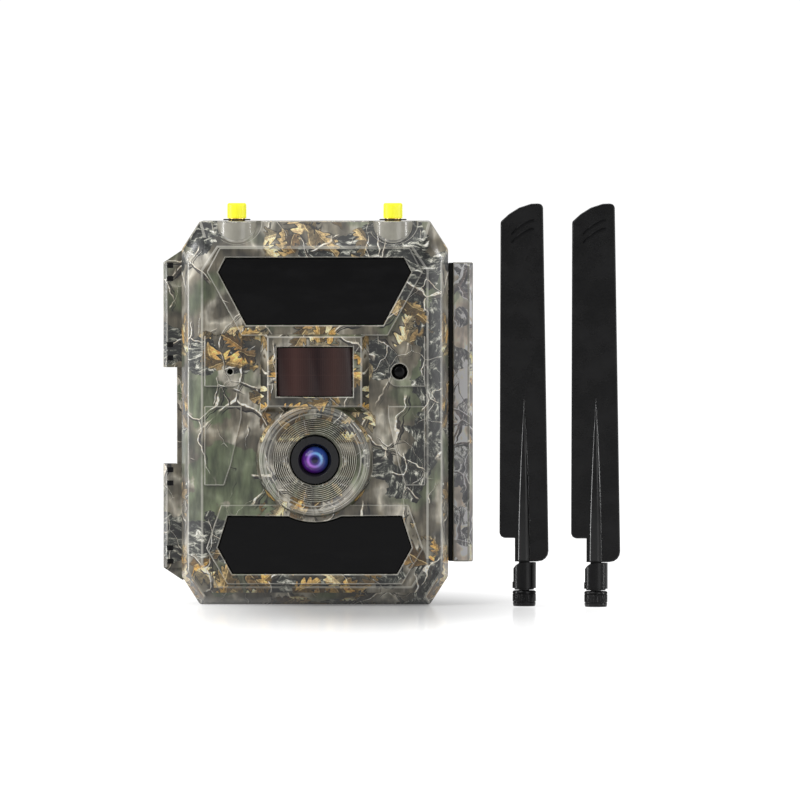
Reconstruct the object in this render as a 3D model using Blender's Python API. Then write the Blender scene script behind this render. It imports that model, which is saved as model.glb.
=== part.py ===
"""Trail camera with two detached paddle antennas, as separate jointed pieces.

Sizes below are in millimetres and go through MM into Blender's metres.
X runs to the right, Z up, and the lens looks along -Y. The origin is on the rest face, under the lens.
Each piece is one object. A piece that moves has its origin on its joint's axis.
"""

from math import cos, pi, radians, sin, sqrt

import bmesh
import bpy
from mathutils import Matrix, Vector

MM = 0.001
GAP = 0.3

# Case: overall outline, and where the front door meets the rear case.
HALF_WIDTH = 51.2
HEIGHT = 147.4
CORNER_X = 7.0
CORNER_Z = 10.8
SPLIT = -3.0
WALL = 2.4
FACE_Y = -34.0
SHOULDER_Y = -30.0
SIDE_Y = -23.5
BACK_Y = 32.0
RAIL_Y = 39.0
RAIL_Z = (16.0, 130.0)
STRAP_SLOT_Y = (32.3, 36.6)
STRAP_SLOT_HEIGHT = 28.0
STRAP_SLOTS = (30.0, 88.0)

# Raised details on the front face.
FRAME_Y = -36.0
WINDOW_Y = -35.3
PAD_Y = -35.6
BOSS_Y = -38.0
BEZEL_Y = -38.4
LENS_Z = 55.7
PIR_Z = 89.6
SENSOR_X = 32.5

# Left hinge: a vertical pin in the plane of the split.
HINGE_X = -56.1
KNUCKLE_R = 2.4
HINGE_PIN_R = 1.2
HINGE_BLOCKS = ((13.8, 53.8), (91.0, 131.4))
HINGE_WINDOWS = (16.2, 21.4, 46.4, 51.5, 94.6, 99.7, 125.2, 130.2)
KNUCKLE_END = 9.0
FLANGE_X = -53.3
FLANGE_Z = (11.0, 135.0)

# Right latch: a long lever on a vertical pin.
LATCH_X = 56.9
LATCH_Y = 8.0
LATCH_R = 3.9
LATCH_Z = (16.2, 131.4)
LATCH_EARS = (30.0, 70.0, 110.0)
EAR_HEIGHT = 7.0

# Antenna connectors on the top.
SMA_X = 30.0
SMA_Y = -24.0
SMA_BOSS_R = 7.5
THREAD_R = 3.175

# Inside the door.
COVER_Y = (-8.0, -6.0)
BOARD_Y = (-14.0, -12.4)
IR_BOARD_Y = (-30.6, -29.2)
POST_X = 42.0
POST_Z = (22.0, 126.0)
KEYS = {
    "up": (-7.0, 66.0),
    "down": (-7.0, 46.0),
    "menu": (-21.0, 56.0),
    "ok": (-7.0, 56.0),
    "shot": (7.0, 56.0),
}
KEY_R = 3.4
SWITCH_X = (-30.0, -18.0)
SWITCH_Z = 30.0
CARD_X = (13.2, 37.2)
CARD_Z = (38.0, 70.0)

# Batteries.
CELL_R = 7.1
CELL_LENGTH = 50.5
CELL_PITCH = 15.4
CELL_ROWS = (17.6, 71.2)
TRAY_Y = (6.0, 24.5)

# Antennas: a nut, a knuckle that turns in it, and a blade that folds on the knuckle.
ANTENNAS = {"left": (80.3, -42.8), "right": (107.6, -51.5)}
NUT_R = 4.45
COLLAR_R = 4.55
ELBOW_Z = 12.0
TONGUE_T = 1.4
BLADE_TOP = 154.4
BLADE_RIDGE = ((17.3, 3.1, 3.3), (36.0, 2.7, 3.15), (55.5, 2.3, 2.9), (79.7, 0.4, 2.2))
BLADE_TIP = ((2.6, 0.3), (-2.0, 1.8), (-5.8, 4.2), (-9.1, 7.2))

COLOURS = {
    "camo": ((0.20, 0.18, 0.13), 0.35, 0.0),
    "black_gloss": ((0.01, 0.01, 0.012), 0.1, 0.0),
    "black_matte": ((0.02, 0.02, 0.022), 0.5, 0.0),
    "rubber": ((0.03, 0.03, 0.03), 0.8, 0.0),
    "pir_brown": ((0.10, 0.05, 0.04), 0.3, 0.0),
    "glass": ((0.05, 0.03, 0.12), 0.05, 0.0),
    "board": ((0.02, 0.14, 0.06), 0.4, 0.0),
    "brass": ((0.75, 0.55, 0.22), 0.3, 1.0),
    "steel": ((0.55, 0.55, 0.56), 0.3, 1.0),
    "cap_yellow": ((0.85, 0.80, 0.03), 0.45, 0.0),
    "key_grey": ((0.35, 0.36, 0.38), 0.5, 0.0),
    "cell": ((0.05, 0.06, 0.08), 0.35, 0.0),
    "card": ((0.03, 0.05, 0.16), 0.4, 0.0),
    "screen": ((0.02, 0.03, 0.04), 0.08, 0.0),
}


# ---------------------------------------------------------------- helpers

def clear_scene():
    """Remove every object that is in the scene at the start."""
    for item in list(bpy.data.objects):
        bpy.data.objects.remove(item, do_unlink=True)


def material(name):
    """The named Principled material, made once."""
    found = bpy.data.materials.get(name)
    if found:
        return found
    colour, roughness, metallic = COLOURS[name]
    made = bpy.data.materials.new(name)
    made.use_nodes = True
    shader = made.node_tree.nodes["Principled BSDF"]
    shader.inputs["Base Color"].default_value = (*colour, 1.0)
    shader.inputs["Roughness"].default_value = roughness
    shader.inputs["Metallic"].default_value = metallic
    return made


def solid(name, mesh_builder, slot, origin=(0.0, 0.0, 0.0)):
    """An object whose mesh is built in world millimetres, with its origin moved to a point on its axis."""
    shape = bmesh.new()
    mesh_builder(shape)
    bmesh.ops.scale(shape, vec=(MM, MM, MM), verts=shape.verts)
    place = Vector(origin) * MM
    bmesh.ops.translate(shape, vec=-place, verts=shape.verts)
    bmesh.ops.recalc_face_normals(shape, faces=shape.faces)
    mesh = bpy.data.meshes.new(name)
    shape.to_mesh(mesh)
    shape.free()
    mesh.shade_smooth()
    mesh.set_sharp_from_angle(angle=radians(32))
    if slot:
        mesh.materials.append(material(slot))
    made = bpy.data.objects.new(name, mesh)
    made.location = place
    bpy.context.collection.objects.link(made)
    return made


def tool(mesh_builder, name="tool"):
    """A hidden shape that is only used to cut or to add to a piece."""
    made = solid(name, mesh_builder, None)
    made.hide_render = True
    made.display_type = "WIRE"
    return made


def combine(piece, operation, *builders):
    """Cut the shapes from the piece, or add them to it, one Boolean each."""
    for builder in builders:
        step = piece.modifiers.new(operation.lower(), "BOOLEAN")
        step.operation = operation
        step.solver = "EXACT"
        step.object = tool(builder)


def cut(piece, *builders):
    combine(piece, "DIFFERENCE", *builders)


def add(piece, *builders):
    combine(piece, "UNION", *builders)


def loft(loops):
    """A closed body through loops of points, all with the same number of points."""
    def build(shape):
        rings = [[shape.verts.new(point) for point in loop] for loop in loops]
        for low, high in zip(rings, rings[1:]):
            for i, corner in enumerate(low):
                j = (i + 1) % len(low)
                shape.faces.new((corner, low[j], high[j], high[i]))
        shape.faces.new(rings[0])
        shape.faces.new(rings[-1])
    return build


def plate(outline, y0, y1):
    """A prism from an outline in XZ, between two depths."""
    return loft([[(x, y, z) for x, z in outline] for y in (y0, y1)])


def bar(outline, z0, z1):
    """A prism from an outline in XY, between two heights."""
    return loft([[(x, y, z) for x, y in outline] for z in (z0, z1)])


def box(x0, x1, y0, y1, z0, z1):
    return bar([(x0, y0), (x1, y0), (x1, y1), (x0, y1)], z0, z1)


def turned(profile, centre, axis="Z", sides=24):
    """A closed turned body from (radius, distance along the axis) pairs. A zero radius is a pole."""
    place = {
        "X": Matrix.Rotation(pi / 2, 3, "Y"),
        "Y": Matrix.Rotation(-pi / 2, 3, "X"),
        "Z": Matrix.Identity(3),
    }

    def build(shape):
        rings = []
        for radius, along in profile:
            angles = [2 * pi * i / sides for i in range(sides)] if radius else [0.0]
            points = [Vector((radius * cos(a), radius * sin(a), along)) for a in angles]
            rings.append([shape.verts.new(place[axis] @ p + Vector(centre)) for p in points])
        closed = profile[0][0] and profile[-1][0] and profile[0] != profile[-1]
        pairs = list(zip(rings, rings[1:]))
        if closed:
            pairs.append((rings[-1], rings[0]))
        for low, high in pairs:
            for i in range(sides):
                j = (i + 1) % sides
                corners = [low[i % len(low)], low[j % len(low)], high[j % len(high)], high[i % len(high)]]
                unique = list(dict.fromkeys(corners))
                shape.faces.new(unique)
    return build


def rod(radius, start, end, sides=24):
    """A plain round bar between two points that differ along one axis only."""
    along = [abs(b - a) for a, b in zip(start, end)]
    axis = "XYZ"[along.index(max(along))]
    index = "XYZ".index(axis)
    low = min(start[index], end[index])
    base = list(start)
    base[index] = low
    length = along[index]
    return turned([(0.0, 0.0), (radius, 0.0), (radius, length), (0.0, length)], base, axis, sides)


def mirrored(points):
    """The outline's right half, with its mirror image added in reverse order."""
    return list(points) + [(-x, z) for x, z in reversed(points)]


def arc(centre, radius, start, end, steps):
    """Points on an arc in a plane, angles in degrees."""
    angles = [radians(start + (end - start) * i / steps) for i in range(steps + 1)]
    return [(centre[0] + radius * cos(a), centre[1] + radius * sin(a)) for a in angles]


def octagon(half_width, bottom, top, corner_x, corner_z):
    """A rectangle with cut corners, symmetric about X = 0."""
    right = [
        (half_width - corner_x, bottom),
        (half_width, bottom + corner_z),
        (half_width, top - corner_z),
        (half_width - corner_x, top),
    ]
    return mirrored(right)


def case_outline(inset=0.0):
    return octagon(HALF_WIDTH - inset, inset, HEIGHT - inset, CORNER_X - inset / 3, CORNER_Z - inset / 3)


def at_depth(outline, y):
    return [(x, y, z) for x, z in outline]


def grown(outline, amount):
    """The outline moved outwards by an amount, for a part that fits inside it with a gap."""
    count = len(outline)
    area = sum(a[0] * b[1] - b[0] * a[1] for a, b in zip(outline, outline[1:] + outline[:1]))
    side = 1 if area > 0 else -1
    result = []
    for i, (x, z) in enumerate(outline):
        before, after = outline[i - 1], outline[(i + 1) % count]
        ax, az = x - before[0], z - before[1]
        bx, bz = after[0] - x, after[1] - z
        la, lb = sqrt(ax * ax + az * az), sqrt(bx * bx + bz * bz)
        nx, nz = az / la + bz / lb, -ax / la - bx / lb
        scale = 2 * side * amount / (nx * nx + nz * nz)
        result.append((x + nx * scale, z + nz * scale))
    return result


# ---------------------------------------------------------------- outlines

def upper_window():
    return mirrored([(26.1, 107.8), (36.7, 127.8), (34.0, 133.0)])


def upper_frame():
    return mirrored([(28.1, 103.4), (41.5, 127.9), (36.5, 137.2)])


def lens_dip(radius, half_angle, steps=8):
    """The lower window's top edge, curving under the lens, from right to left."""
    return arc((0.0, LENS_Z), radius, -90 + half_angle, -90 - half_angle, steps)


def lower_window():
    sides = [(33.2, 34.0), (36.9, 22.2), (31.4, 12.3)]
    return lens_dip(24.2, 25.0) + [(-x, z) for x, z in sides] + [(x, z) for x, z in reversed(sides)]


def lower_frame():
    return mirrored([(33.6, 8.0), (41.7, 21.8), (36.0, 38.6)])


def upper_pad(side):
    corner = arc((31.5, 87.3), 3.5, 270, 180, 4)
    return [(side * x, z) for x, z in corner + [(28.0, 103.4), (42.4, 103.4), (42.4, 83.8)]]


def lower_pad(side):
    points = [(28.0, 76.5), (28.0, 72.0), (32.2, 53.6), (34.7, 45.9), (42.4, 45.9), (42.4, 76.5)]
    return [(side * x, z) for x, z in points]


def blade_outline(x, height):
    """The antenna blade, with the step that lets it fold to the left."""
    right_foot = arc((x + 5.3, 21.1), 4.0, -90, 0, 4)
    right_tip = arc((x + 5.2, height - 2.1), 2.0, 5, 75, 3)
    top = [(x + across, height - down) for across, down in BLADE_TIP]
    left_foot = arc((x - 7.5, 28.1), 2.0, 180, 270, 3)
    return [(x - 3.6, 17.1)] + right_foot + right_tip + top + left_foot + [(x - 3.6, 26.1)]


# ---------------------------------------------------------------- rear case

def build_rear_case():
    rim = SPLIT + GAP
    outer = [
        at_depth(case_outline(), rim),
        at_depth(case_outline(), BACK_Y - 6),
        at_depth(case_outline(4.0), BACK_Y),
    ]
    piece = solid("rear_case", loft(outer), "camo")
    add(piece, box(FLANGE_X, -HALF_WIDTH + 1, rim, rim + 7, *FLANGE_Z))
    for z0, z1 in HINGE_BLOCKS:
        inner = (z0 + KNUCKLE_END + GAP, z1 - KNUCKLE_END - GAP)
        add(piece, rod(KNUCKLE_R, (HINGE_X, SPLIT, inner[0]), (HINGE_X, SPLIT, inner[1]), 20))
        add(piece, box(HINGE_X, -HALF_WIDTH + 1, rim, rim + 5, *inner))
    for z in LATCH_EARS:
        add(piece, rod(3.2, (LATCH_X, LATCH_Y, z), (LATCH_X, LATCH_Y, z + EAR_HEIGHT), 20))
        ear = (HALF_WIDTH - 1, LATCH_X, LATCH_Y - 3.1, LATCH_Y + 3.1, z + 0.2, z + EAR_HEIGHT - 0.2)
        add(piece, box(*ear))
    for side in (-1, 1):
        foot = [(side * 21.0, BACK_Y - 1), (side * 32.0, BACK_Y - 1)]
        ridge = [(side * 29.5, RAIL_Y), (side * 22.5, RAIL_Y)]
        add(piece, bar(foot + ridge, *RAIL_Z))
    cut(piece, plate(case_outline(WALL), rim - 1, rim + 2.5))
    cut(piece, plate(case_outline(6.0), rim + 2, BACK_Y - 3))
    add(piece, rod(8.0, (0, 14, 1), (0, 14, 11.5)))
    add(piece, rod(7.0, (-26, 14, 1), (-26, 14, 12.5)))
    cut(piece, rod(5.3, (0, 14, -1), (0, 14, 10.0)))
    cut(piece, rod(4.9, (-26, 14, -1), (-26, 14, 14.0)))
    cut(piece, box(-34.0, -18.0, 7.4, 24.0, -1, 2.6))
    for z0, z1 in HINGE_BLOCKS:
        cut(piece, rod(HINGE_PIN_R + GAP, (HINGE_X, SPLIT, z0), (HINGE_X, SPLIT, z1), 16))
        for low, high in ((z0 - 1, z0 + KNUCKLE_END), (z1 - KNUCKLE_END, z1 + 1)):
            cut(piece, rod(KNUCKLE_R + GAP, (HINGE_X, SPLIT, low), (HINGE_X, SPLIT, high), 20))
    cut(piece, rod(1.5 + GAP, (LATCH_X, LATCH_Y, 20), (LATCH_X, LATCH_Y, 127), 16))
    for low in STRAP_SLOTS:
        cut(piece, box(-34, 34, *STRAP_SLOT_Y, low, low + STRAP_SLOT_HEIGHT))


def build_gasket():
    """A flat ring that fills the joint between the door and the rear case."""
    low = SPLIT - 1.8
    high = SPLIT + GAP + 1.7
    section = ((2.8, low), (4.4, low), (4.4, high), (2.8, high))
    loops = [at_depth(case_outline(inset), y) for inset, y in section]

    def ring(shape):
        rings = [[shape.verts.new(point) for point in loop] for loop in loops]
        for inner, outer in zip(rings, rings[1:] + rings[:1]):
            for i, corner in enumerate(inner):
                j = (i + 1) % len(inner)
                shape.faces.new((corner, inner[j], outer[j], outer[i]))
    solid("case_gasket", ring, "rubber")


def build_pins():
    for name, (z0, z1) in zip(("hinge_pin_lower", "hinge_pin_upper"), HINGE_BLOCKS):
        pin = rod(HINGE_PIN_R, (HINGE_X, SPLIT, z0 + 1.4), (HINGE_X, SPLIT, z1 - 1.4), 12)
        solid(name, pin, "steel", (HINGE_X, SPLIT, z0))
    origin = (LATCH_X, LATCH_Y, LATCH_Z[0])
    solid("latch_pin", rod(1.5, (LATCH_X, LATCH_Y, 22), (LATCH_X, LATCH_Y, 125), 12), "steel", origin)


def build_bottom_fittings():
    """The tripod insert, the power socket and its hinged rubber plug."""
    insert = turned([(5.0, 0.0), (5.0, 9.5), (2.6, 9.5), (2.6, 0.0)], (0, 14, 0.2))
    solid("tripod_insert", insert, "brass", (0, 14, 0))
    socket = turned([(0.0, 0.0), (4.5, 0.0), (4.5, 9.5), (0.0, 9.5)], (-26, 14, 3.0))
    piece = solid("dc_jack", socket, "black_matte")
    cut(piece, turned([(0.0, -1.0), (2.75, -1.0), (2.75, 7.5), (0.0, 7.5)], (-26, 14, 3.0)))
    add(piece, rod(0.8, (-26, 14, 4.5), (-26, 14, 11.0), 12))
    piece = solid("dc_plug", box(-33.6, -18.4, 7.8, 23.0, 0.2, 2.2), "rubber", (-26, 22.6, 1.2))
    add(piece, rod(1.6, (-26, 14, 1.8), (-26, 14, 3.9), 16))


def build_battery_tray():
    half = 2 * CELL_PITCH + 2.0
    bottom = CELL_ROWS[0] - 2.4
    top = CELL_ROWS[1] + CELL_LENGTH + 2.4
    piece = solid("battery_tray", box(-half, half, *TRAY_Y, bottom, top), "black_matte")
    for low in CELL_ROWS:
        for column in range(4):
            x = (column - 1.5) * CELL_PITCH
            y = TRAY_Y[1] - 2.0 - CELL_R - GAP
            channel = arc((x, y), CELL_R + GAP, 180, 0, 8)[::-1]
            channel = [(x + CELL_R + GAP, TRAY_Y[0] - 1)] + channel + [(x - CELL_R - GAP, TRAY_Y[0] - 1)]
            cut(piece, bar(channel, low - 0.9, low + CELL_LENGTH + 0.9))


def build_cells():
    y = TRAY_Y[1] - 2.0 - CELL_R - GAP
    number = 1
    for low in CELL_ROWS:
        for column in range(4):
            x = (column - 1.5) * CELL_PITCH
            profile = [(0.0, 0.0), (6.3, 0.0), (CELL_R, 0.7), (CELL_R, 48.6), (6.4, 49.3), (2.7, 49.3)]
            profile += [(2.7, CELL_LENGTH), (0.0, CELL_LENGTH)]
            if column % 2:
                profile = [(r, CELL_LENGTH - z) for r, z in reversed(profile)]
            solid(f"aa_cell_{number}", turned(profile, (x, y, low), sides=14), "cell", (x, y, low))
            number += 1


# ---------------------------------------------------------------- front case

def front_shell(piece):
    """The hollow of the door, open to the rear."""
    face = octagon(41.2, 9.2, 135.0, 6.0, 8.6)
    shoulder = octagon(46.2, 5.4, 139.0, 6.0, 9.6)
    inner = case_outline(WALL)
    hollow = [
        at_depth(face, FACE_Y + 2.8),
        at_depth(shoulder, SHOULDER_Y + 1.4),
        at_depth(inner, SIDE_Y + 1.0),
        at_depth(inner, SPLIT + 1.0),
    ]
    cut(piece, loft(hollow))


def add_front_relief(piece):
    """Frames, bezel, lens boss and side pads that stand out of the front face."""
    back = FACE_Y + 1.0
    add(piece, plate(upper_frame(), FRAME_Y, back))
    add(piece, plate(lower_frame(), FRAME_Y, back))
    for side in (-1, 1):
        add(piece, plate(upper_pad(side), PAD_Y, back))
        add(piece, plate(lower_pad(side), PAD_Y, back))
    boss = [(0.0, 0.0), (21.2, 0.0), (22.6, 4.0), (22.6, 5.0), (0.0, 5.0)]
    add(piece, turned(boss, (0, BOSS_Y, LENS_Z), "Y", 48))
    bezel_face = mirrored([(18.0, 76.2), (18.0, 103.1)])
    bezel_foot = mirrored([(20.8, 74.0), (20.8, 104.6)])
    bezel = [at_depth(bezel_face, BEZEL_Y), at_depth(bezel_foot, FACE_Y), at_depth(bezel_foot, back)]
    add(piece, loft(bezel))


def hinge_slopes():
    """The sloped ends of the hinge blocks, above the upper one and under the lower one."""
    edge = HINGE_X - KNUCKLE_R
    root = -HALF_WIDTH + 0.5
    top = HINGE_BLOCKS[1][1] - 0.05
    bottom = HINGE_BLOCKS[0][0] + 0.05
    yield [(edge, top), (root, top), (root, top + 5.2)]
    yield [(edge, bottom), (root, bottom), (root, bottom - 5.2)]


def add_front_hinge(piece):
    rim = SPLIT - GAP
    add(piece, box(FLANGE_X, -HALF_WIDTH + 1, rim - 7, rim, *FLANGE_Z))
    for outline in hinge_slopes():
        add(piece, plate(outline, rim - 8.0, rim - KNUCKLE_R - 0.35))
    for z0, z1 in HINGE_BLOCKS:
        outline = [
            (HINGE_X - KNUCKLE_R, rim - 8.0),
            (HINGE_X - KNUCKLE_R + 1.5, rim - 9.5),
            (-HALF_WIDTH + 1, rim - 9.5),
            (-HALF_WIDTH + 1, rim - KNUCKLE_R - 0.3),
            (HINGE_X - KNUCKLE_R, rim - KNUCKLE_R - 0.3),
        ]
        add(piece, bar(outline, z0, z1))
        for low, high in ((z0, z0 + KNUCKLE_END), (z1 - KNUCKLE_END, z1)):
            add(piece, rod(KNUCKLE_R, (HINGE_X, SPLIT, low), (HINGE_X, SPLIT, high), 20))
            side = (HINGE_X - KNUCKLE_R + 0.02, HINGE_X + KNUCKLE_R)
            add(piece, box(*side, rim - 4.0, SPLIT, low + 0.05, high - 0.05))
        middle = (z0 + KNUCKLE_END, z1 - KNUCKLE_END)
        cut(piece, rod(KNUCKLE_R + GAP, (HINGE_X, SPLIT, middle[0]), (HINGE_X, SPLIT, middle[1]), 20))
        cut(piece, rod(HINGE_PIN_R + GAP, (HINGE_X, SPLIT, z0 + 1), (HINGE_X, SPLIT, z1 - 1), 16))
    for z in HINGE_WINDOWS:
        cut(piece, box(HINGE_X - 0.9, HINGE_X + 1.5, rim - 11, rim - 7.0, z - 1.0, z + 1.0))


def build_front_case():
    outer = [
        at_depth(octagon(43.3, 6.8, 137.6, 6.0, 9.0), FACE_Y),
        at_depth(octagon(48.8, 3.0, 141.4, 6.4, 10.0), SHOULDER_Y),
        at_depth(case_outline(), SIDE_Y),
        at_depth(case_outline(), SPLIT - GAP),
    ]
    piece = solid("front_case", loft(outer), "camo", (HINGE_X, SPLIT, 0))
    add_front_relief(piece)
    front_shell(piece)
    for side in (-1, 1):
        x = side * SMA_X
        add(piece, rod(SMA_BOSS_R, (x, SMA_Y, 139.0), (x, SMA_Y, HEIGHT)))
        cut(piece, rod(THREAD_R + GAP, (x, SMA_Y, 130), (x, SMA_Y, HEIGHT + 5), 20))
        for z in POST_Z:
            add(piece, rod(3.2, (side * POST_X, FACE_Y + 2, z), (side * POST_X, COVER_Y[0] - GAP, z), 16))
            cut(piece, rod(1.3, (side * POST_X, COVER_Y[0] - 9, z), (side * POST_X, COVER_Y[0] + 1, z), 12))
    cut(piece, plate(grown(upper_window(), GAP), FRAME_Y - 1, FACE_Y + 4))
    cut(piece, plate(grown(lower_window(), GAP), FRAME_Y - 1, FACE_Y + 4))
    cut(piece, plate(mirrored([(14.6, 80.1), (14.6, 99.1)]), BEZEL_Y - 1, FACE_Y + 4))
    funnel = [(0.0, -0.5), (19.45, -0.5), (19.3, 0.0), (16.3, 1.6), (10.2, 3.6), (9.6, 4.2), (9.6, 9.0)]
    funnel.append((0.0, 9.0))
    cut(piece, turned(funnel, (0, BOSS_Y, LENS_Z), "Y", 48))
    cut(piece, rod(1.05, (-SENSOR_X, PAD_Y - 1, PIR_Z), (-SENSOR_X, FACE_Y + 4, PIR_Z), 12))
    cut(piece, rod(3.05, (SENSOR_X, PAD_Y - 1, PIR_Z), (SENSOR_X, FACE_Y + 4, PIR_Z), 20))
    add_front_hinge(piece)
    rib = (HALF_WIDTH - 1, HALF_WIDTH + 1.6, SPLIT - 7.9, SPLIT - 6.4)
    add(piece, box(*rib, LATCH_Z[0] + 0.3, LATCH_Z[1] - 0.3))


def build_windows():
    """The two black infrared windows, and the thin bulging lens of the motion sensor."""
    solid("upper_ir_window", plate(upper_window(), WINDOW_Y, WINDOW_Y + 2.0), "black_gloss")
    solid("lower_ir_window", plate(lower_window(), WINDOW_Y, WINDOW_Y + 2.0), "black_gloss")
    steps = 10
    half = 14.3
    bulge = 1.7
    across = [half - 2 * half * i / steps for i in range(steps + 1)]
    front = [(x, BEZEL_Y + 1.1 - bulge * (1 - (x / half) ** 2)) for x in across]
    rear = [(x, y + 0.8) for x, y in reversed(front)]
    solid("pir_lens", bar(front + rear, 80.4, 98.8), "pir_brown")


def build_ir_board(name, low, high, half, rows, columns):
    """A board with a grid of domed emitters that face the window."""
    y0, y1 = IR_BOARD_Y
    piece = solid(name, box(-half, half, y0, y1, low, high), "board")
    for row in range(rows):
        for column in range(columns):
            x = (column - (columns - 1) / 2) * 2 * (half - 4) / (columns - 1)
            z = low + (row + 0.5) * (high - low) / rows
            dome = [(0.0, -2.3), (1.4, -1.9), (2.0, -1.0), (2.0, 0.3), (0.0, 0.3)]
            add(piece, turned(dome, (x, y0, z), "Y", 6))


def build_lens():
    centre = (0, 0, LENS_Z)
    barrel = [
        (9.2, -34.6), (9.2, -31.5), (7.6, -30.5), (7.6, -21.6), (5.6, -21.6), (5.6, -32.6), (6.4, -34.6),
    ]
    solid("lens_barrel", turned(barrel, centre, "Y", 24), "black_matte")
    glass = [(0.0, -34.4), (2.6, -34.1), (4.2, -33.4), (5.2, -32.4), (5.2, -29.0), (0.0, -29.0)]
    solid("lens_glass", turned(glass, centre, "Y", 24), "glass")
    frame = (-11.0, 5.0, -21.2, -20.2, LENS_Z - 5.0, LENS_Z + 5.0)
    piece = solid("ir_cut_frame", box(*frame), "black_matte")
    cut(piece, rod(3.4, (0, -22, LENS_Z), (0, -19, LENS_Z), 16))
    cut(piece, rod(2.6, (-7.2, -22, LENS_Z), (-7.2, -19, LENS_Z), 16))
    piece = solid("sensor_board", box(-13, 13, -17.6, -16.2, LENS_Z - 12, LENS_Z + 12), "board")
    add(piece, box(-4.5, 4.5, -19.4, -17.0, LENS_Z - 4, LENS_Z + 4))


def build_sensors():
    profile = [(0.0, 0.0), (4.1, 0.0), (4.1, 3.2), (4.7, 3.3), (4.7, 4.2), (0.0, 4.2)]
    solid("pir_sensor", turned(profile, (0, -30.0, PIR_Z), "Y", 20), "steel")
    profile = [(0.0, 0.6), (1.6, 0.15), (2.7, 0.9), (2.7, 4.6), (0.0, 4.6)]
    solid("light_sensor", turned(profile, (SENSOR_X, PAD_Y + 0.6, PIR_Z), "Y", 20), "black_gloss")


def build_boards():
    y0, y1 = BOARD_Y
    piece = solid("main_board", box(-36, 36, y0, y1, 38, 126), "board")
    for x, z, width, height in ((-14, 108, 14, 14), (12, 112, 18, 10), (22, 84, 12, 12), (-20, 76, 10, 16)):
        add(piece, box(x - width / 2, x + width / 2, y0 - 1.6, y0 + 0.5, z - height / 2, z + height / 2))
    build_ir_board("upper_ir_board", 110.5, 130.5, 27.0, 2, 5)
    build_ir_board("lower_ir_board", 13.5, 29.5, 29.0, 2, 5)


def build_connector(side, name):
    """A coaxial antenna socket with its washer, dust cap and cable."""
    x = side * SMA_X
    profile = [(0.0, 0.0), (4.6, 0.0), (4.6, 1.6), (THREAD_R, 1.6), (THREAD_R, 15.6), (0.0, 15.6)]
    body = turned(profile, (x, SMA_Y, 137.0), sides=16)
    piece = solid(f"sma_{name}", body, "brass", (x, SMA_Y, 137))
    cut(piece, rod(0.7, (x, SMA_Y, 148), (x, SMA_Y, 154), 8))
    washer = [(3.8, 0.0), (5.2, 0.0), (5.2, 0.5), (3.8, 0.5)]
    solid(f"sma_washer_{name}", turned(washer, (x, SMA_Y, HEIGHT + GAP)), "rubber", (x, SMA_Y, HEIGHT))
    seat = HEIGHT + 2 * GAP + 0.5
    cap = [(0.0, 4.9), (3.5, 4.9), (3.5, 0.0), (3.65, 0.0), (3.65, 5.2), (3.2, 5.8), (0.0, 5.8)]
    solid(f"dust_cap_{name}", turned(cap, (x, SMA_Y, seat), sides=20), "cap_yellow", (x, SMA_Y, seat))
    cable = bpy.data.curves.new(f"coax_{name}", "CURVE")
    cable.dimensions = "3D"
    cable.bevel_depth = 0.9 * MM
    cable.bevel_resolution = 1
    cable.resolution_u = 6
    cable.use_fill_caps = True
    line = cable.splines.new("BEZIER")
    line.bezier_points.add(1)
    top, end = line.bezier_points
    top.co = Vector((x, SMA_Y, 136.4)) * MM
    top.handle_left = Vector((x, SMA_Y, 140.0)) * MM
    top.handle_right = Vector((x, SMA_Y, 124.0)) * MM
    end.co = Vector((x - side * 6, BOARD_Y[0] - 1.4, 118.0)) * MM
    end.handle_left = Vector((x - side * 6, BOARD_Y[0] - 2.0, 130.0)) * MM
    end.handle_right = Vector((x - side * 6, BOARD_Y[0] - 1.4, 112.0)) * MM
    made = bpy.data.objects.new(f"coax_{name}", cable)
    made.data.materials.append(material("black_matte"))
    bpy.context.collection.objects.link(made)


def build_inner_cover():
    """The keypad side of the door, seen when it is open."""
    y0, y1 = COVER_Y
    piece = solid("inner_cover", plate(case_outline(WALL + 0.5), y0, y1), "black_matte")
    cut(piece, box(-25.3, 25.3, y0 - 1, y1 + 1, 76.7, 115.3))
    for x, z in KEYS.values():
        cut(piece, rod(KEY_R + GAP, (x, y0 - 1, z), (x, y1 + 1, z), 16))
    cut(piece, box(*SWITCH_X, y0 - 1, y1 + 1, SWITCH_Z - 2.1, SWITCH_Z + 2.1))
    cut(piece, box(CARD_X[0] - 0.6, CARD_X[1] + 0.6, y0 - 1, y1 + 1, 13.0, CARD_Z[0] + 3.5))
    for side in (-1, 1):
        for z in POST_Z:
            cut(piece, rod(1.5, (side * POST_X, y0 - 1, z), (side * POST_X, y1 + 1, z), 12))
    solid("display", box(-25.0, 25.0, y0 - 2.4, y1 - 0.5, 77.0, 115.0), "screen")


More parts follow.
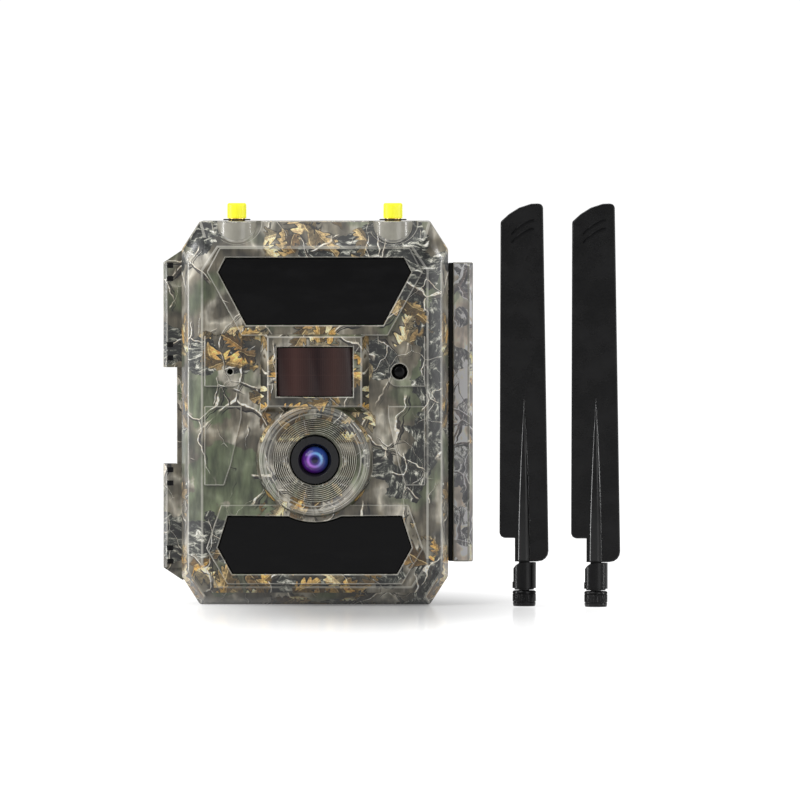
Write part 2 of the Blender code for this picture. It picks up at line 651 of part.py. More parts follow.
def build_controls():
    y0, y1 = COVER_Y
    for name, (x, z) in KEYS.items():
        flange = KEY_R + 1.0
        profile = [(0.0, -1.2), (flange, -1.2), (flange, -0.4), (KEY_R, -0.4), (KEY_R, 3.2), (2.8, 3.6)]
        profile.append((0.0, 3.6))
        solid(f"button_{name}", turned(profile, (x, y0, z), "Y", 14), "key_grey", (x, y0, z))
    knob_x = SWITCH_X[0] + 2.9
    knob = box(knob_x - 2.5, knob_x + 2.5, y0 - 1.0, y1 + 1.2, SWITCH_Z - 1.7, SWITCH_Z + 1.7)
    piece = solid("power_switch", knob, "key_grey")
    add(piece, box(knob_x - 4.2, knob_x + 4.2, y0 - 1.6, y0 - 0.5, SWITCH_Z - 3.0, SWITCH_Z + 3.0))
    y = y0 - 0.5
    corner = 4.0
    outline = [
        (CARD_X[0], CARD_Z[1]),
        (CARD_X[0], CARD_Z[0]),
        (CARD_X[1], CARD_Z[0]),
        (CARD_X[1], CARD_Z[1] - corner),
        (CARD_X[1] - corner, CARD_Z[1]),
    ]
    solid("sd_card", plate(outline, y - 2.1, y), "card")


def build_cover_screws():
    y0, y1 = COVER_Y
    for name, side, z in (("cover_screw_lower", 1, POST_Z[0]), ("cover_screw_upper", -1, POST_Z[1])):
        profile = [(0.0, -7.0), (1.0, -7.0), (1.0, 2.3), (2.7, 2.3), (2.7, 3.3), (2.0, 4.0), (0.0, 4.0)]
        solid(name, turned(profile, (side * POST_X, y0, z), "Y", 16), "steel", (side * POST_X, y0, z))


# ---------------------------------------------------------------- latch

def build_latch():
    """The long side lever, and the black bar inside it whose lip holds the door's rib."""
    z0, z1 = LATCH_Z
    front = SPLIT - 12.5
    round_end = arc((LATCH_X, LATCH_Y), LATCH_R, 0, 180, 8)
    outline = [(LATCH_X - 3.8, front), (59.2, front), (60.8, front + 2.0)] + round_end
    origin = (LATCH_X, LATCH_Y, 0)
    piece = solid("latch_cover", bar(outline, z0, z1), "camo", origin)
    cut(piece, box(50, 55.3, front + 1.8, SPLIT + 5.0, z0 - 1, z1 + 1))
    cut(piece, rod(1.5 + GAP, (LATCH_X, LATCH_Y, 20), (LATCH_X, LATCH_Y, 127), 16))
    for z in LATCH_EARS:
        cut(piece, box(50, 62, LATCH_Y - 3.7, LATCH_Y + 6, z - 0.4, z + EAR_HEIGHT + 0.4))
    lip_front = front + 2.1
    lip_back = SPLIT - 8.2
    profile = [
        (51.5, lip_front),
        (55.0, lip_front),
        (55.0, SPLIT + 4.7),
        (53.1, SPLIT + 4.7),
        (53.1, lip_back),
        (51.5, lip_back),
    ]
    solid("latch_hook_bar", bar(profile, z0 + 0.1, z1 - 0.1), "black_matte", origin)


# ---------------------------------------------------------------- antennas

def oval(x, y, wide, deep, z):
    """A level oval ring, wide across X and deep along Y."""
    angles = [2 * pi * i / 12 for i in range(12)]
    return [(x + wide * cos(a), y + deep * sin(a), z) for a in angles]


def build_antenna(name, x, y):
    base = (x, y, 0.0)
    elbow = (x, y, ELBOW_Z)
    nut = [(3.3, 0.0), (3.3, 4.3), (2.4, 4.3), (2.4, 6.0), (NUT_R - 0.5, 6.0), (NUT_R, 5.5), (NUT_R, 1.5)]
    nut.append((4.1, 0.0))
    solid(f"antenna_nut_{name}", turned(nut, base, sides=20), "black_matte", base)
    knuckle = [(0.0, 4.6), (2.0, 4.6), (2.0, 6.3), (3.75, 6.3), (3.75, 6.8), (COLLAR_R, 6.9)]
    knuckle += [(COLLAR_R, 16.8), (0.0, 16.8)]
    piece = solid(f"antenna_knuckle_{name}", turned(knuckle, base, sides=20), "black_matte", elbow)
    corner = arc((x, ELBOW_Z), 4.8, 180, 90, 6) + [(x, 19), (x - 6, 19), (x - 6, ELBOW_Z)]
    cut(piece, plate(corner, y - 6, y + 6))
    half = TONGUE_T + GAP
    cut(piece, box(x - 6, x + 2.6, y - half, y + half, 9.3, 19))
    cut(piece, rod(1.3, (x, y - 4.0, ELBOW_Z), (x, y + 4.0, ELBOW_Z), 16))
    pin = rod(1.0, (x, y - 3.7, ELBOW_Z), (x, y + 3.7, ELBOW_Z), 12)
    solid(f"elbow_pin_{name}", pin, "steel", elbow)
    outline = blade_outline(x, BLADE_TOP)
    blade = solid(f"antenna_blade_{name}", plate(outline, y - 2.6, y + 2.6), "black_matte", elbow)
    add(blade, loft([oval(x, y, wide, deep, z) for z, wide, deep in BLADE_RIDGE]))
    add(blade, box(x - 2.1, x + 2.1, y - TONGUE_T, y + TONGUE_T, ELBOW_Z, 18.5))
    add(blade, rod(2.3, (x, y - TONGUE_T + 0.02, ELBOW_Z), (x, y + TONGUE_T - 0.02, ELBOW_Z), 20))
    cut(blade, rod(1.3, (x, y - 3, ELBOW_Z), (x, y + 3, ELBOW_Z), 16))


def main():
    clear_scene()
    build_rear_case()
    build_gasket()
    build_pins()
    build_bottom_fittings()
    build_battery_tray()
    build_cells()
    build_front_case()
    build_windows()
    build_lens()
    build_sensors()
    build_boards()
    for side, name in ((-1, "left"), (1, "right")):
        build_connector(side, name)
    build_inner_cover()
    build_controls()
    build_cover_screws()
    build_latch()
    for name, (x, y) in ANTENNAS.items():
        build_antenna(name, x, y)


main()
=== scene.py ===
"""Looks for the trail camera: finer surfaces, procedural materials, a pale floor and soft light.

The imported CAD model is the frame. Lengths are in metres, and places come from the frame's own boxes.
"""

from math import cos, pi, radians, sin

import bmesh
import bpy
from mathutils import Matrix, Vector

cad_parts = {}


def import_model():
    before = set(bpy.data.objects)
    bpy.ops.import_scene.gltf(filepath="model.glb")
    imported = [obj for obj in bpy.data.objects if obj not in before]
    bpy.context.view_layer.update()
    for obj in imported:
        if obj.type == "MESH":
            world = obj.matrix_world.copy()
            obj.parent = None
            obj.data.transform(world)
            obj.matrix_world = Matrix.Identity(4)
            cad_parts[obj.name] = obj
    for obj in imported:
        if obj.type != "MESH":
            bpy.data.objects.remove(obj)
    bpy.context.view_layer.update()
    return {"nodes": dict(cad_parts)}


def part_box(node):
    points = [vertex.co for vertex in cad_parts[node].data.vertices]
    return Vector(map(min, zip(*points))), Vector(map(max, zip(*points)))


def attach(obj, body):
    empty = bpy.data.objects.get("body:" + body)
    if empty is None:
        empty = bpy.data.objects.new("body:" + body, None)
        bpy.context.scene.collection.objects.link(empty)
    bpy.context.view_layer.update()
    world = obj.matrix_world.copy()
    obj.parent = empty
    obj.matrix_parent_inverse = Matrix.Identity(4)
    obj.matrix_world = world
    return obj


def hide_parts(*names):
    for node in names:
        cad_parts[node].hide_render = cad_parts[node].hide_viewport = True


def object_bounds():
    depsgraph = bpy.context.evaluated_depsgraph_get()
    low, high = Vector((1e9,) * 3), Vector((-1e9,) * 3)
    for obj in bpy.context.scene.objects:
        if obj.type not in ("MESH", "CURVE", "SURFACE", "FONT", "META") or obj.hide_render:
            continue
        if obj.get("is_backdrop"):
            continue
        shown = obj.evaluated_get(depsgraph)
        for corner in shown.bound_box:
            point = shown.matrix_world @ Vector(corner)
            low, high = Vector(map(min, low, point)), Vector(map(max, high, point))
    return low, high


MM = 0.001


# ---------------------------------------------------------------- shader graph helper

class Graph:
    """A short way to write a shader node tree. A value is a number, a tuple or another node's output."""

    def __init__(self, tree):
        self.tree = tree

    def node(self, kind, **settings):
        made = self.tree.nodes.new(kind)
        for name, value in settings.items():
            setattr(made, name, value)
        return made

    def put(self, socket, value):
        if isinstance(value, bpy.types.NodeSocket):
            self.tree.links.new(value, socket)
        elif value is not None:
            if isinstance(value, tuple) and len(value) == 3 and socket.type == "RGBA":
                value = (*value, 1.0)
            socket.default_value = value

    def math(self, operation, a, b=None, c=None, clamp=False):
        made = self.node("ShaderNodeMath", operation=operation, use_clamp=clamp)
        for socket, value in zip(made.inputs, (a, b, c)):
            self.put(socket, value)
        return made.outputs[0]

    def add(self, a, b):
        return self.math("ADD", a, b)

    def sub(self, a, b):
        return self.math("SUBTRACT", a, b)

    def mul(self, a, b):
        return self.math("MULTIPLY", a, b)

    def vector(self, operation, a, b=None):
        made = self.node("ShaderNodeVectorMath", operation=operation)
        self.put(made.inputs[0], a)
        if operation == "SCALE":
            self.put(made.inputs["Scale"], b)
        else:
            self.put(made.inputs[1], b)
        return made.outputs[1] if operation in ("DOT_PRODUCT", "LENGTH") else made.outputs[0]

    def parts(self, vector):
        made = self.node("ShaderNodeSeparateXYZ")
        self.put(made.inputs[0], vector)
        return made.outputs[0], made.outputs[1], made.outputs[2]

    def join(self, x, y, z=0.0):
        made = self.node("ShaderNodeCombineXYZ")
        for socket, value in zip(made.inputs, (x, y, z)):
            self.put(socket, value)
        return made.outputs[0]

    def mix(self, factor, a, b, blend="MIX"):
        made = self.node("ShaderNodeMix", data_type="RGBA", blend_type=blend)
        self.put(made.inputs[0], factor)
        self.put(made.inputs[6], a)
        self.put(made.inputs[7], b)
        return made.outputs[2]

    def choose(self, factor, a, b):
        """A number between a and b."""
        made = self.node("ShaderNodeMix", data_type="FLOAT")
        self.put(made.inputs[0], factor)
        self.put(made.inputs[2], a)
        self.put(made.inputs[3], b)
        return made.outputs[0]

    def step(self, value, low, high, to_low=0.0, to_high=1.0):
        """A smooth rise from to_low at low to to_high at high."""
        made = self.node("ShaderNodeMapRange", interpolation_type="SMOOTHSTEP")
        for socket, number in zip(made.inputs, (value, low, high, to_low, to_high)):
            self.put(socket, number)
        return made.outputs[0]

    def noise(self, vector, scale, detail=2.0, rough=0.5, shift=0.0, warp=0.0):
        made = self.node("ShaderNodeTexNoise")
        self.put(made.inputs["Vector"], self.vector("ADD", vector, (shift, shift * 0.7, shift * 1.3)) if shift else vector)
        self.put(made.inputs["Scale"], scale)
        self.put(made.inputs["Detail"], detail)
        self.put(made.inputs["Roughness"], rough)
        self.put(made.inputs["Distortion"], warp)
        return made.outputs[0]

    def cloud(self, vector, scale, detail=2.0, shift=0.0):
        """Three numbers of noise, for bending another pattern."""
        made = self.node("ShaderNodeTexNoise")
        self.put(made.inputs["Vector"], self.vector("ADD", vector, (shift, shift, shift)))
        self.put(made.inputs["Scale"], scale)
        self.put(made.inputs["Detail"], detail)
        return self.vector("SUBTRACT", made.outputs[1], (0.5, 0.5, 0.5))

    def cells(self, vector, feature="F1", randomness=1.0, flat=True):
        made = self.node("ShaderNodeTexVoronoi", feature=feature, voronoi_dimensions="2D" if flat else "3D")
        self.put(made.inputs["Vector"], vector)
        self.put(made.inputs["Scale"], 1.0)
        self.put(made.inputs["Randomness"], randomness)
        return made.outputs

    def ramp(self, value, stops):
        made = self.node("ShaderNodeValToRGB")
        self.put(made.inputs[0], value)
        colours = made.color_ramp.elements
        while len(colours) < len(stops):
            colours.new(0.5)
        for element, (place, colour) in zip(colours, stops):
            element.position = place
            element.color = (*colour, 1.0)
        return made.outputs[0]

    def bump(self, height, distance, strength=1.0):
        made = self.node("ShaderNodeBump")
        self.put(made.inputs["Height"], height)
        self.put(made.inputs["Distance"], distance)
        self.put(made.inputs["Strength"], strength)
        return made.outputs[0]


def srgb(red, green, blue):
    """A colour given as screen values from 0 to 255."""
    def linear(value):
        share = value / 255
        return share / 12.92 if share <= 0.04045 else ((share + 0.055) / 1.055) ** 2.4
    return tuple(linear(value) for value in (red, green, blue))


def principled(name):
    """A new material with its graph and its shader."""
    made = bpy.data.materials.new(name)
    made.use_nodes = True
    graph = Graph(made.node_tree)
    return made, graph, made.node_tree.nodes["Principled BSDF"]


def local_place(graph):
    """Object coordinates: a piece's own place at rest, which moves with it."""
    return graph.node("ShaderNodeTexCoord").outputs["Object"]


# ---------------------------------------------------------------- camouflage print

CM = 100.0

# Where each motif gathers on the door, as (x, z, reach) in centimetres on the flat print.
LEAF_SPOTS = (
    (-1.2, 14.1, 0.8), (0.4, 14.4, 0.8), (1.4, 13.8, 0.7), (-3.9, 9.8, 0.9), (-2.9, 9.9, 0.9), (-1.8, 10.2, 0.7),
    (0.0, 10.3, 0.9), (-1.6, 8.8, 0.8), (-2.1, 8.2, 0.6), (0.2, 7.8, 0.9), (1.5, 9.0, 0.7), (3.6, 10.8, 0.9),
    (3.0, 11.2, 0.6), (-1.2, 7.0, 0.9), (1.6, 7.0, 0.7), (-1.2, 3.9, 0.9), (0.6, 4.0, 0.6), (-3.6, 1.2, 1.1),
    (-2.4, 1.3, 1.0), (0.1, 1.1, 1.2), (1.7, 1.2, 0.9), (3.8, 2.0, 0.8), (3.4, 3.2, 0.5),
)
BARK_SPOTS = (
    (0.2, 13.6, 0.5), (1.3, 13.6, 0.6), (2.5, 13.8, 0.8), (3.7, 14.2, 0.9), (4.0, 12.8, 0.8), (3.5, 11.9, 0.7),
    (-4.4, 14.2, 0.8), (-3.6, 14.6, 0.6), (-5.4, 9.9, 0.8), (-4.3, 9.6, 0.8), (-2.9, 9.5, 0.6), (2.4, 9.4, 0.8),
    (4.4, 10.6, 0.8), (4.8, 9.4, 0.9), (4.6, 8.1, 0.9), (4.4, 6.8, 0.9), (4.0, 5.6, 0.9), (3.5, 4.7, 0.9),
    (2.5, 5.4, 0.7), (-5.2, 2.6, 0.9), (-4.1, 2.6, 0.8), (-3.3, 2.2, 0.6), (-1.2, 0.6, 0.7), (1.1, 0.6, 0.8),
    (2.7, 1.2, 0.7), (4.7, 1.2, 0.8), (0.7, 7.2, 0.7), (-0.2, 4.5, 0.6), (5.8, 5.2, 0.9), (6.4, 4.2, 0.9),
    (-5.9, 10.2, 0.6), (-5.6, 9.6, 0.6), (-5.8, 3.0, 0.6), (-5.6, 2.2, 0.6), (5.7, 13.0, 0.5), (5.8, 12.3, 0.4),
    (5.6, 9.4, 0.4), (5.9, 2.6, 0.4), (5.6, 11.0, 0.4), (5.9, 7.4, 0.5), (5.6, 3.4, 0.4), (-0.2, 13.4, 0.5),
    (0.9, 13.3, 0.5), (1.9, 13.4, 0.6), (2.9, 13.5, 0.6), (5.0, 13.2, 0.5), (4.9, 11.4, 0.5),
)
GREEN_SPOTS = ((-4.3, 7.9, 1.1), (-3.4, 5.0, 1.5), (-2.4, 4.2, 1.2), (4.6, 12.2, 0.9), (4.3, 8.8, 0.7), (-4.4, 3.6, 0.9))


def flat_place(graph):
    """The print's flat coordinates in centimetres: x and z on the front and back, y and z on the sides, x and y on top."""
    coordinates = graph.node("ShaderNodeTexCoord")
    x, y, z = graph.parts(coordinates.outputs["Object"])
    facing = graph.vector("ABSOLUTE", coordinates.outputs["Normal"])
    across, deep, up = graph.parts(facing)
    deep = graph.mul(deep, 1.15)
    side = graph.math("GREATER_THAN", across, graph.math("MAXIMUM", deep, up))
    top = graph.math("GREATER_THAN", up, graph.math("MAXIMUM", deep, across))
    rear = graph.math("GREATER_THAN", y, 0.0)
    u = graph.choose(side, x, graph.add(y, 0.031))
    v = graph.choose(top, z, graph.add(y, 0.093))
    u = graph.math("MULTIPLY_ADD", rear, 0.43, u)
    return graph.vector("SCALE", graph.join(u, v), CM)


def gathered(graph, place, spots, shift):
    """1 near the named spots with a ragged border, 0 elsewhere."""
    rough = graph.mul(graph.sub(graph.noise(place, 1.1, 3.0, 0.55, shift=shift), 0.5), 1.9)
    inside = 0.0
    for x, z, reach in spots:
        away = graph.vector("LENGTH", graph.vector("SUBTRACT", place, (x, z, 0.0)))
        inside = graph.math("MAXIMUM", inside, graph.sub(1.0, graph.mul(away, 0.5 / reach)))
    return graph.step(graph.add(inside, graph.mul(rough, 0.45)), 0.5, 0.56)


def elsewhere(graph, place):
    """1 off the door's face, where the motifs are placed by noise instead of by the named spots."""
    x, z, _ = graph.parts(place)
    wide = graph.math("GREATER_THAN", graph.math("ABSOLUTE", x), 6.3)
    return graph.math("MAXIMUM", wide, graph.math("GREATER_THAN", graph.math("ABSOLUTE", graph.sub(z, 7.4)), 7.36))


def background(graph, place):
    """Out-of-focus woods: soft blotches of taupe, grey and green."""
    soft = graph.noise(place, 0.55, 3.0, 0.5, shift=3.0)
    colour = graph.ramp(soft, [
        (0.33, srgb(46, 45, 40)),
        (0.41, srgb(94, 90, 80)),
        (0.50, srgb(124, 119, 107)),
        (0.58, srgb(174, 170, 160)),
        (0.67, srgb(100, 96, 86)),
    ])
    haze = graph.step(graph.noise(place, 0.5, 2.0, 0.5, shift=11.0), 0.54, 0.64)
    green = graph.math("MAXIMUM", graph.mul(haze, 0.7), graph.mul(gathered(graph, place, GREEN_SPOTS, 2.0), 0.85))
    tint = graph.mix(soft, srgb(82, 92, 70), srgb(116, 124, 102))
    colour = graph.mix(green, colour, tint)
    stripes = graph.noise(graph.vector("MULTIPLY", place, (2.2, 0.5, 1.0)), 1.4, 4.0, 0.55, shift=5.0)
    return graph.mix(0.7, colour, graph.ramp(stripes, [(0.32, (0.15, 0.15, 0.15)), (0.68, (0.82, 0.82, 0.82))]), "OVERLAY")


def bark(graph, place, cover):
    """Dark bark with pale flecks along the grain, upright on the door's right edge. Gives the colour and where it shows."""
    x, z, _ = graph.parts(place)
    bent = graph.vector("ADD", place, graph.vector("SCALE", graph.cloud(place, 0.8, 3.0, 2.0), 1.1))
    upright = graph.mul(graph.step(x, 2.4, 3.2), graph.step(z, 12.4, 11.4))
    level = graph.noise(graph.vector("MULTIPLY", bent, (1.5, 4.2, 1.0)), 1.25, 9.0, 0.74, shift=31.0, warp=0.5)
    tall = graph.noise(graph.vector("MULTIPLY", bent, (4.0, 1.4, 1.0)), 1.25, 9.0, 0.74, shift=37.0, warp=0.5)
    flecks = graph.choose(upright, level, tall)
    colour = graph.ramp(flecks, [
        (0.37, srgb(12, 13, 14)),
        (0.47, srgb(38, 41, 40)),
        (0.53, srgb(86, 88, 83)),
        (0.58, srgb(168, 168, 159)),
        (0.66, srgb(230, 226, 217)),
    ])
    fray = graph.mul(graph.sub(flecks, 0.5), 1.4)
    return colour, graph.step(graph.add(cover, fray), 0.42, 0.55)


def line_mask(graph, place, width):
    """Near a cell wall of a net: thin forked lines."""
    edge = graph.cells(place, "DISTANCE_TO_EDGE")[0]
    return graph.sub(1.0, graph.step(edge, graph.mul(width, 0.55), width))


def branches(graph, place, size, width, shift, colour, seen):
    """Forked branches lit from the upper left, drawn over a colour where they are seen."""
    bent = graph.vector("ADD", place, graph.vector("SCALE", graph.cloud(place, 0.55, 3.0, shift), 1.7))
    bent = graph.vector("ADD", graph.vector("MULTIPLY", bent, (size, size * 0.72, 1.0)), (shift, shift * 1.7, 0.0))
    vary = graph.noise(place, 0.9, 2.0, 0.5, shift=shift + 2.0)
    breadth = graph.mul(width, graph.step(vary, 0.35, 0.7, 0.2, 1.25))
    lit = line_mask(graph, graph.vector("ADD", bent, (0.022, -0.026, 0.0)), breadth)
    shade = line_mask(graph, graph.vector("ADD", bent, (-0.024, 0.022, 0.0)), breadth)
    core = line_mask(graph, bent, breadth)
    mottle = graph.noise(place, 9.0, 5.0, 0.7)
    pale = graph.ramp(mottle, [(0.35, srgb(170, 161, 146)), (0.6, srgb(240, 234, 222))])
    wood = graph.ramp(mottle, [(0.35, srgb(30, 28, 27)), (0.62, srgb(96, 90, 82))])
    colour = graph.mix(graph.mul(shade, seen), colour, srgb(10, 10, 10))
    colour = graph.mix(graph.mul(lit, seen), colour, pale)
    return graph.mix(graph.mul(core, seen), colour, wood)


def leaves(graph, place, size, shift, cover, colour, density=0.75):
    """One layer of lobed leaves at random places and angles, drawn over a colour where there is cover."""
    bent = graph.vector("ADD", place, graph.vector("SCALE", graph.cloud(place, 1.6, 2.0, shift), 0.34))
    spot = graph.vector("ADD", graph.vector("SCALE", bent, size), (shift, shift * 2.3, 0.0))
    found = graph.cells(spot)
    chance, tone, turn = graph.parts(found[1])
    lx, ly, _ = graph.parts(graph.vector("SUBTRACT", spot, found[2]))
    angle = graph.mul(turn, 2 * pi)
    c, s = graph.math("COSINE", angle), graph.math("SINE", angle)
    along = graph.add(graph.mul(lx, c), graph.mul(ly, s))
    aside = graph.sub(graph.mul(ly, c), graph.mul(lx, s))
    half = graph.math("ABSOLUTE", aside)
    t = graph.mul(along, 1.65)
    body = graph.math("MAXIMUM", graph.sub(1.0, graph.mul(t, t)), 0.0)
    slant = graph.sub(along, graph.mul(half, 0.9))
    lobes = graph.math("MULTIPLY_ADD", graph.math("SINE", graph.mul(slant, 24.0)), 0.32, 0.85)
    inside = graph.sub(graph.mul(graph.mul(body, lobes), 0.30), half)
    here = graph.mul(graph.math("LESS_THAN", chance, density), cover)
    mask = graph.mul(graph.step(inside, 0.0, 0.018), here)
    shadow = graph.mul(graph.step(inside, -0.085, 0.0), here)
    paint = graph.ramp(tone, [
        (0.0, srgb(190, 158, 96)),
        (0.22, srgb(216, 188, 130)),
        (0.42, srgb(112, 92, 64)),
        (0.6, srgb(188, 168, 128)),
        (0.8, srgb(232, 222, 190)),
        (1.0, srgb(156, 126, 78)),
    ])
    paint = graph.mix(graph.step(aside, -0.06, 0.12), graph.mix(0.7, paint, srgb(40, 30, 19)), paint)
    veins = graph.math("ABSOLUTE", graph.math("SINE", graph.mul(slant, 46.0)))
    paint = graph.mix(graph.step(veins, 0.0, 0.35, 0.4, 0.0), paint, srgb(72, 48, 24))
    paint = graph.mix(graph.step(half, 0.004, 0.016, 0.6, 0.0), paint, srgb(226, 208, 166))
    specks = graph.noise(place, 7.0, 7.0, 0.75, shift=shift)
    paint = graph.mix(0.85, paint, graph.ramp(specks, [(0.34, (0.10, 0.10, 0.10)), (0.66, (0.84, 0.84, 0.84))]), "OVERLAY")
    paint = graph.mix(graph.step(inside, 0.03, 0.0, 0.0, 0.45), paint, srgb(230, 214, 176))
    colour = graph.mix(graph.mul(shadow, 0.9), colour, srgb(20, 17, 13))
    return graph.mix(mask, colour, paint)


def camouflage():
    """A shader group with the whole print's colour: woods, bark, branches and layers of leaves."""
    tree = bpy.data.node_groups.new("camouflage", "ShaderNodeTree")
    tree.interface.new_socket("Colour", in_out="OUTPUT", socket_type="NodeSocketColor")
    graph = Graph(tree)
    place = flat_place(graph)
    off = elsewhere(graph, place)
    colour = background(graph, place)
    band = graph.noise(graph.vector("MULTIPLY", place, (0.75, 1.25, 1.0)), 0.42, 4.0, 0.55, shift=23.0)
    bark_cover = graph.choose(off, gathered(graph, place, BARK_SPOTS, 6.0), graph.step(band, 0.52, 0.58))
    rough, dark = bark(graph, place, bark_cover)
    colour = graph.mix(dark, colour, rough)
    seen = graph.step(graph.noise(place, 0.5, 1.0, 0.5, shift=61.0), 0.46, 0.54)
    colour = branches(graph, place, 0.34, 0.019, 4.0, colour, seen)
    twigs = graph.step(graph.noise(place, 0.7, 1.0, 0.5, shift=83.0), 0.54, 0.58)
    colour = branches(graph, place, 0.7, 0.012, 17.0, colour, twigs)
    patch = graph.step(graph.noise(place, 0.5, 2.0, 0.5, shift=41.0), 0.56, 0.60)
    cover = graph.choose(off, gathered(graph, place, LEAF_SPOTS, 8.0), patch)
    colour = leaves(graph, place, 0.66, 7.0, cover, colour, 0.85)
    colour = leaves(graph, place, 0.86, 19.0, cover, colour, 0.75)
    thin = graph.step(graph.noise(place, 0.6, 1.0, 0.5, shift=71.0), 0.47, 0.52)
    colour = branches(graph, place, 0.5, 0.015, 9.0, colour, thin)
    colour = leaves(graph, place, 1.12, 29.0, cover, colour, 0.6)
    deeper = graph.node("ShaderNodeGamma")
    graph.put(deeper.inputs[0], graph.vector("SCALE", colour, 1.42))
    graph.put(deeper.inputs[1], 1.4)
    graph.put(graph.node("NodeGroupOutput").inputs[0], deeper.outputs[0])
    return tree


def camo_material(name, tree, pale=0.0, tint=(222, 219, 208), gain=(1.0, 1.0, 1.0)):
    """Printed film under a glossy clear coat. pale fades the print towards a tint in flecks, and gain scales its
    brightness: a painted highlight along the rounded edges and ring crests, and a painted brightening of the latch
    cover.
    """
    made, graph, shader = principled(name)
    place = local_place(graph)
    colour = graph.node("ShaderNodeGroup", node_tree=tree).outputs[0]
    # Painted light: gain brightens the latch's copy, and pale makes the edge and crest copies paler as painted
    # highlights.
    colour = graph.vector("MINIMUM", graph.vector("MULTIPLY", colour, gain), (0.9, 0.9, 0.9))
    painted_light = graph.mul(graph.step(graph.noise(place, 70.0, 4.0, 0.6), 0.3, 0.62, 0.35, 1.0), pale)
    graph.put(shader.inputs["Base Color"], graph.mix(painted_light, colour, srgb(*tint)))
    orange_peel = graph.noise(place, 900.0, 2.0)
    dust = graph.noise(place, 160.0, 4.0, 0.6)
    graph.put(shader.inputs["Roughness"], graph.step(dust, 0.35, 0.7, 0.30, 0.42))
    graph.put(shader.inputs["Coat Weight"], 0.32)
    graph.put(shader.inputs["Coat Roughness"], 0.14)
    graph.put(shader.inputs["Normal"], graph.bump(orange_peel, 0.00003, 0.5))
    return made


# ---------------------------------------------------------------- other materials

def moulded(name, colour, rough=(0.4, 0.55), grain=1400.0, depth=0.00004, coat=0.0, metallic=0.0, shine=0.5):
    """Moulded or machined stuff: a fine grain, faint blotches of colour and of roughness."""
    made, graph, shader = principled(name)
    place = local_place(graph)
    blotch = graph.noise(place, 90.0, 4.0, 0.6)
    paler = tuple(min(1.0, channel * 1.35 + 0.004) for channel in colour)
    graph.put(shader.inputs["Base Color"], graph.mix(graph.step(blotch, 0.35, 0.72), colour, paler))
    graph.put(shader.inputs["Roughness"], graph.step(blotch, 0.3, 0.7, rough[0], rough[1]))
    graph.put(shader.inputs["Metallic"], metallic)
    graph.put(shader.inputs["Specular IOR Level"], shine)
    graph.put(shader.inputs["Coat Weight"], coat)
    graph.put(shader.inputs["Coat Roughness"], 0.08)
    graph.put(shader.inputs["Normal"], graph.bump(graph.noise(place, grain, 3.0, 0.6), depth, 0.6))
    return made


def window_material():
    """Polished black that passes infrared, with faint smears."""
    made, graph, shader = principled("window_black")
    place = local_place(graph)
    smear = graph.noise(graph.vector("MULTIPLY", place, (1.0, 1.0, 3.0)), 60.0, 5.0, 0.65)
    graph.put(shader.inputs["Base Color"], graph.mix(graph.step(smear, 0.4, 0.7), srgb(13, 13, 14), srgb(19, 19, 20)))
    graph.put(shader.inputs["Roughness"], graph.step(smear, 0.35, 0.7, 0.10, 0.22))
    graph.put(shader.inputs["Specular IOR Level"], 0.1)
    return made


def pir_material(centre_x):
    """Brown film with soft upright bands and fine lens grooves."""
    made, graph, shader = principled("pir_brown")
    x, _, z = graph.parts(local_place(graph))
    half = 0.0143
    share = graph.math("MULTIPLY_ADD", x, 0.5 / half, 0.5 - centre_x * 0.5 / half)
    colour = graph.ramp(share, [
        (0.0, srgb(34, 20, 21)),
        (0.24, srgb(66, 42, 39)),
        (0.34, srgb(56, 36, 34)),
        (0.54, srgb(34, 22, 24)),
        (0.76, srgb(64, 42, 38)),
        (1.0, srgb(38, 24, 24)),
    ])
    grooves = graph.math("SINE", graph.mul(x, 2 * pi / 0.0007))
    rows = graph.math("SINE", graph.mul(z, 2 * pi / 0.0062))
    lines = graph.math("MAXIMUM", graph.step(grooves, 0.2, 0.9), graph.step(rows, 0.96, 1.0))
    graph.put(shader.inputs["Base Color"], graph.mix(graph.mul(lines, 0.06), colour, srgb(120, 88, 78)))
    graph.put(shader.inputs["Roughness"], 0.3)
    graph.put(shader.inputs["Specular IOR Level"], 0.2)
    graph.put(shader.inputs["Normal"], graph.bump(lines, 0.00002, 0.4))
    return made


def glass_material(centre):
    """The lens's dark coated glass: a painted reflection of the coating, violet to blue across it, and a painted bright
    ring, with a faint painted glow from emission.
    """
    made, graph, shader = principled("coated_glass")
    offset = graph.vector("SUBTRACT", local_place(graph), tuple(centre))
    x, _, z = graph.parts(offset)
    radius = graph.vector("LENGTH", graph.join(x, 0.0, z))
    # Painted reflection: the coating's colours change across the glass, with a bright ring round the pupil.
    across = graph.step(graph.add(x, graph.mul(z, 0.7)), -0.0045, 0.0045)
    tint = graph.mix(across, srgb(150, 60, 214), srgb(70, 120, 226))
    rim = graph.step(radius, 0.0062, 0.0044)
    ring = graph.mul(graph.step(radius, 0.0017, 0.0025), graph.step(radius, 0.0035, 0.0026))
    colour = graph.mix(rim, srgb(20, 16, 34), graph.mix(0.72, tint, srgb(20, 14, 60)))
    colour = graph.mix(graph.mul(ring, 0.8), colour, graph.mix(across, srgb(196, 110, 236), srgb(110, 190, 240)))
    pupil = graph.step(radius, 0.0017, 0.0009)
    colour = graph.mix(pupil, colour, srgb(24, 20, 60))
    graph.put(shader.inputs["Base Color"], colour)
    graph.put(shader.inputs["Roughness"], 0.12)
    graph.put(shader.inputs["Specular IOR Level"], 0.2)
    graph.put(shader.inputs["Coat Weight"], 0.3)
    graph.put(shader.inputs["Coat Roughness"], 0.05)
    # Painted glow: the glass gives off a little of its own colour.
    graph.put(shader.inputs["Emission Color"], colour)
    graph.put(shader.inputs["Emission Strength"], 0.12)
    return made


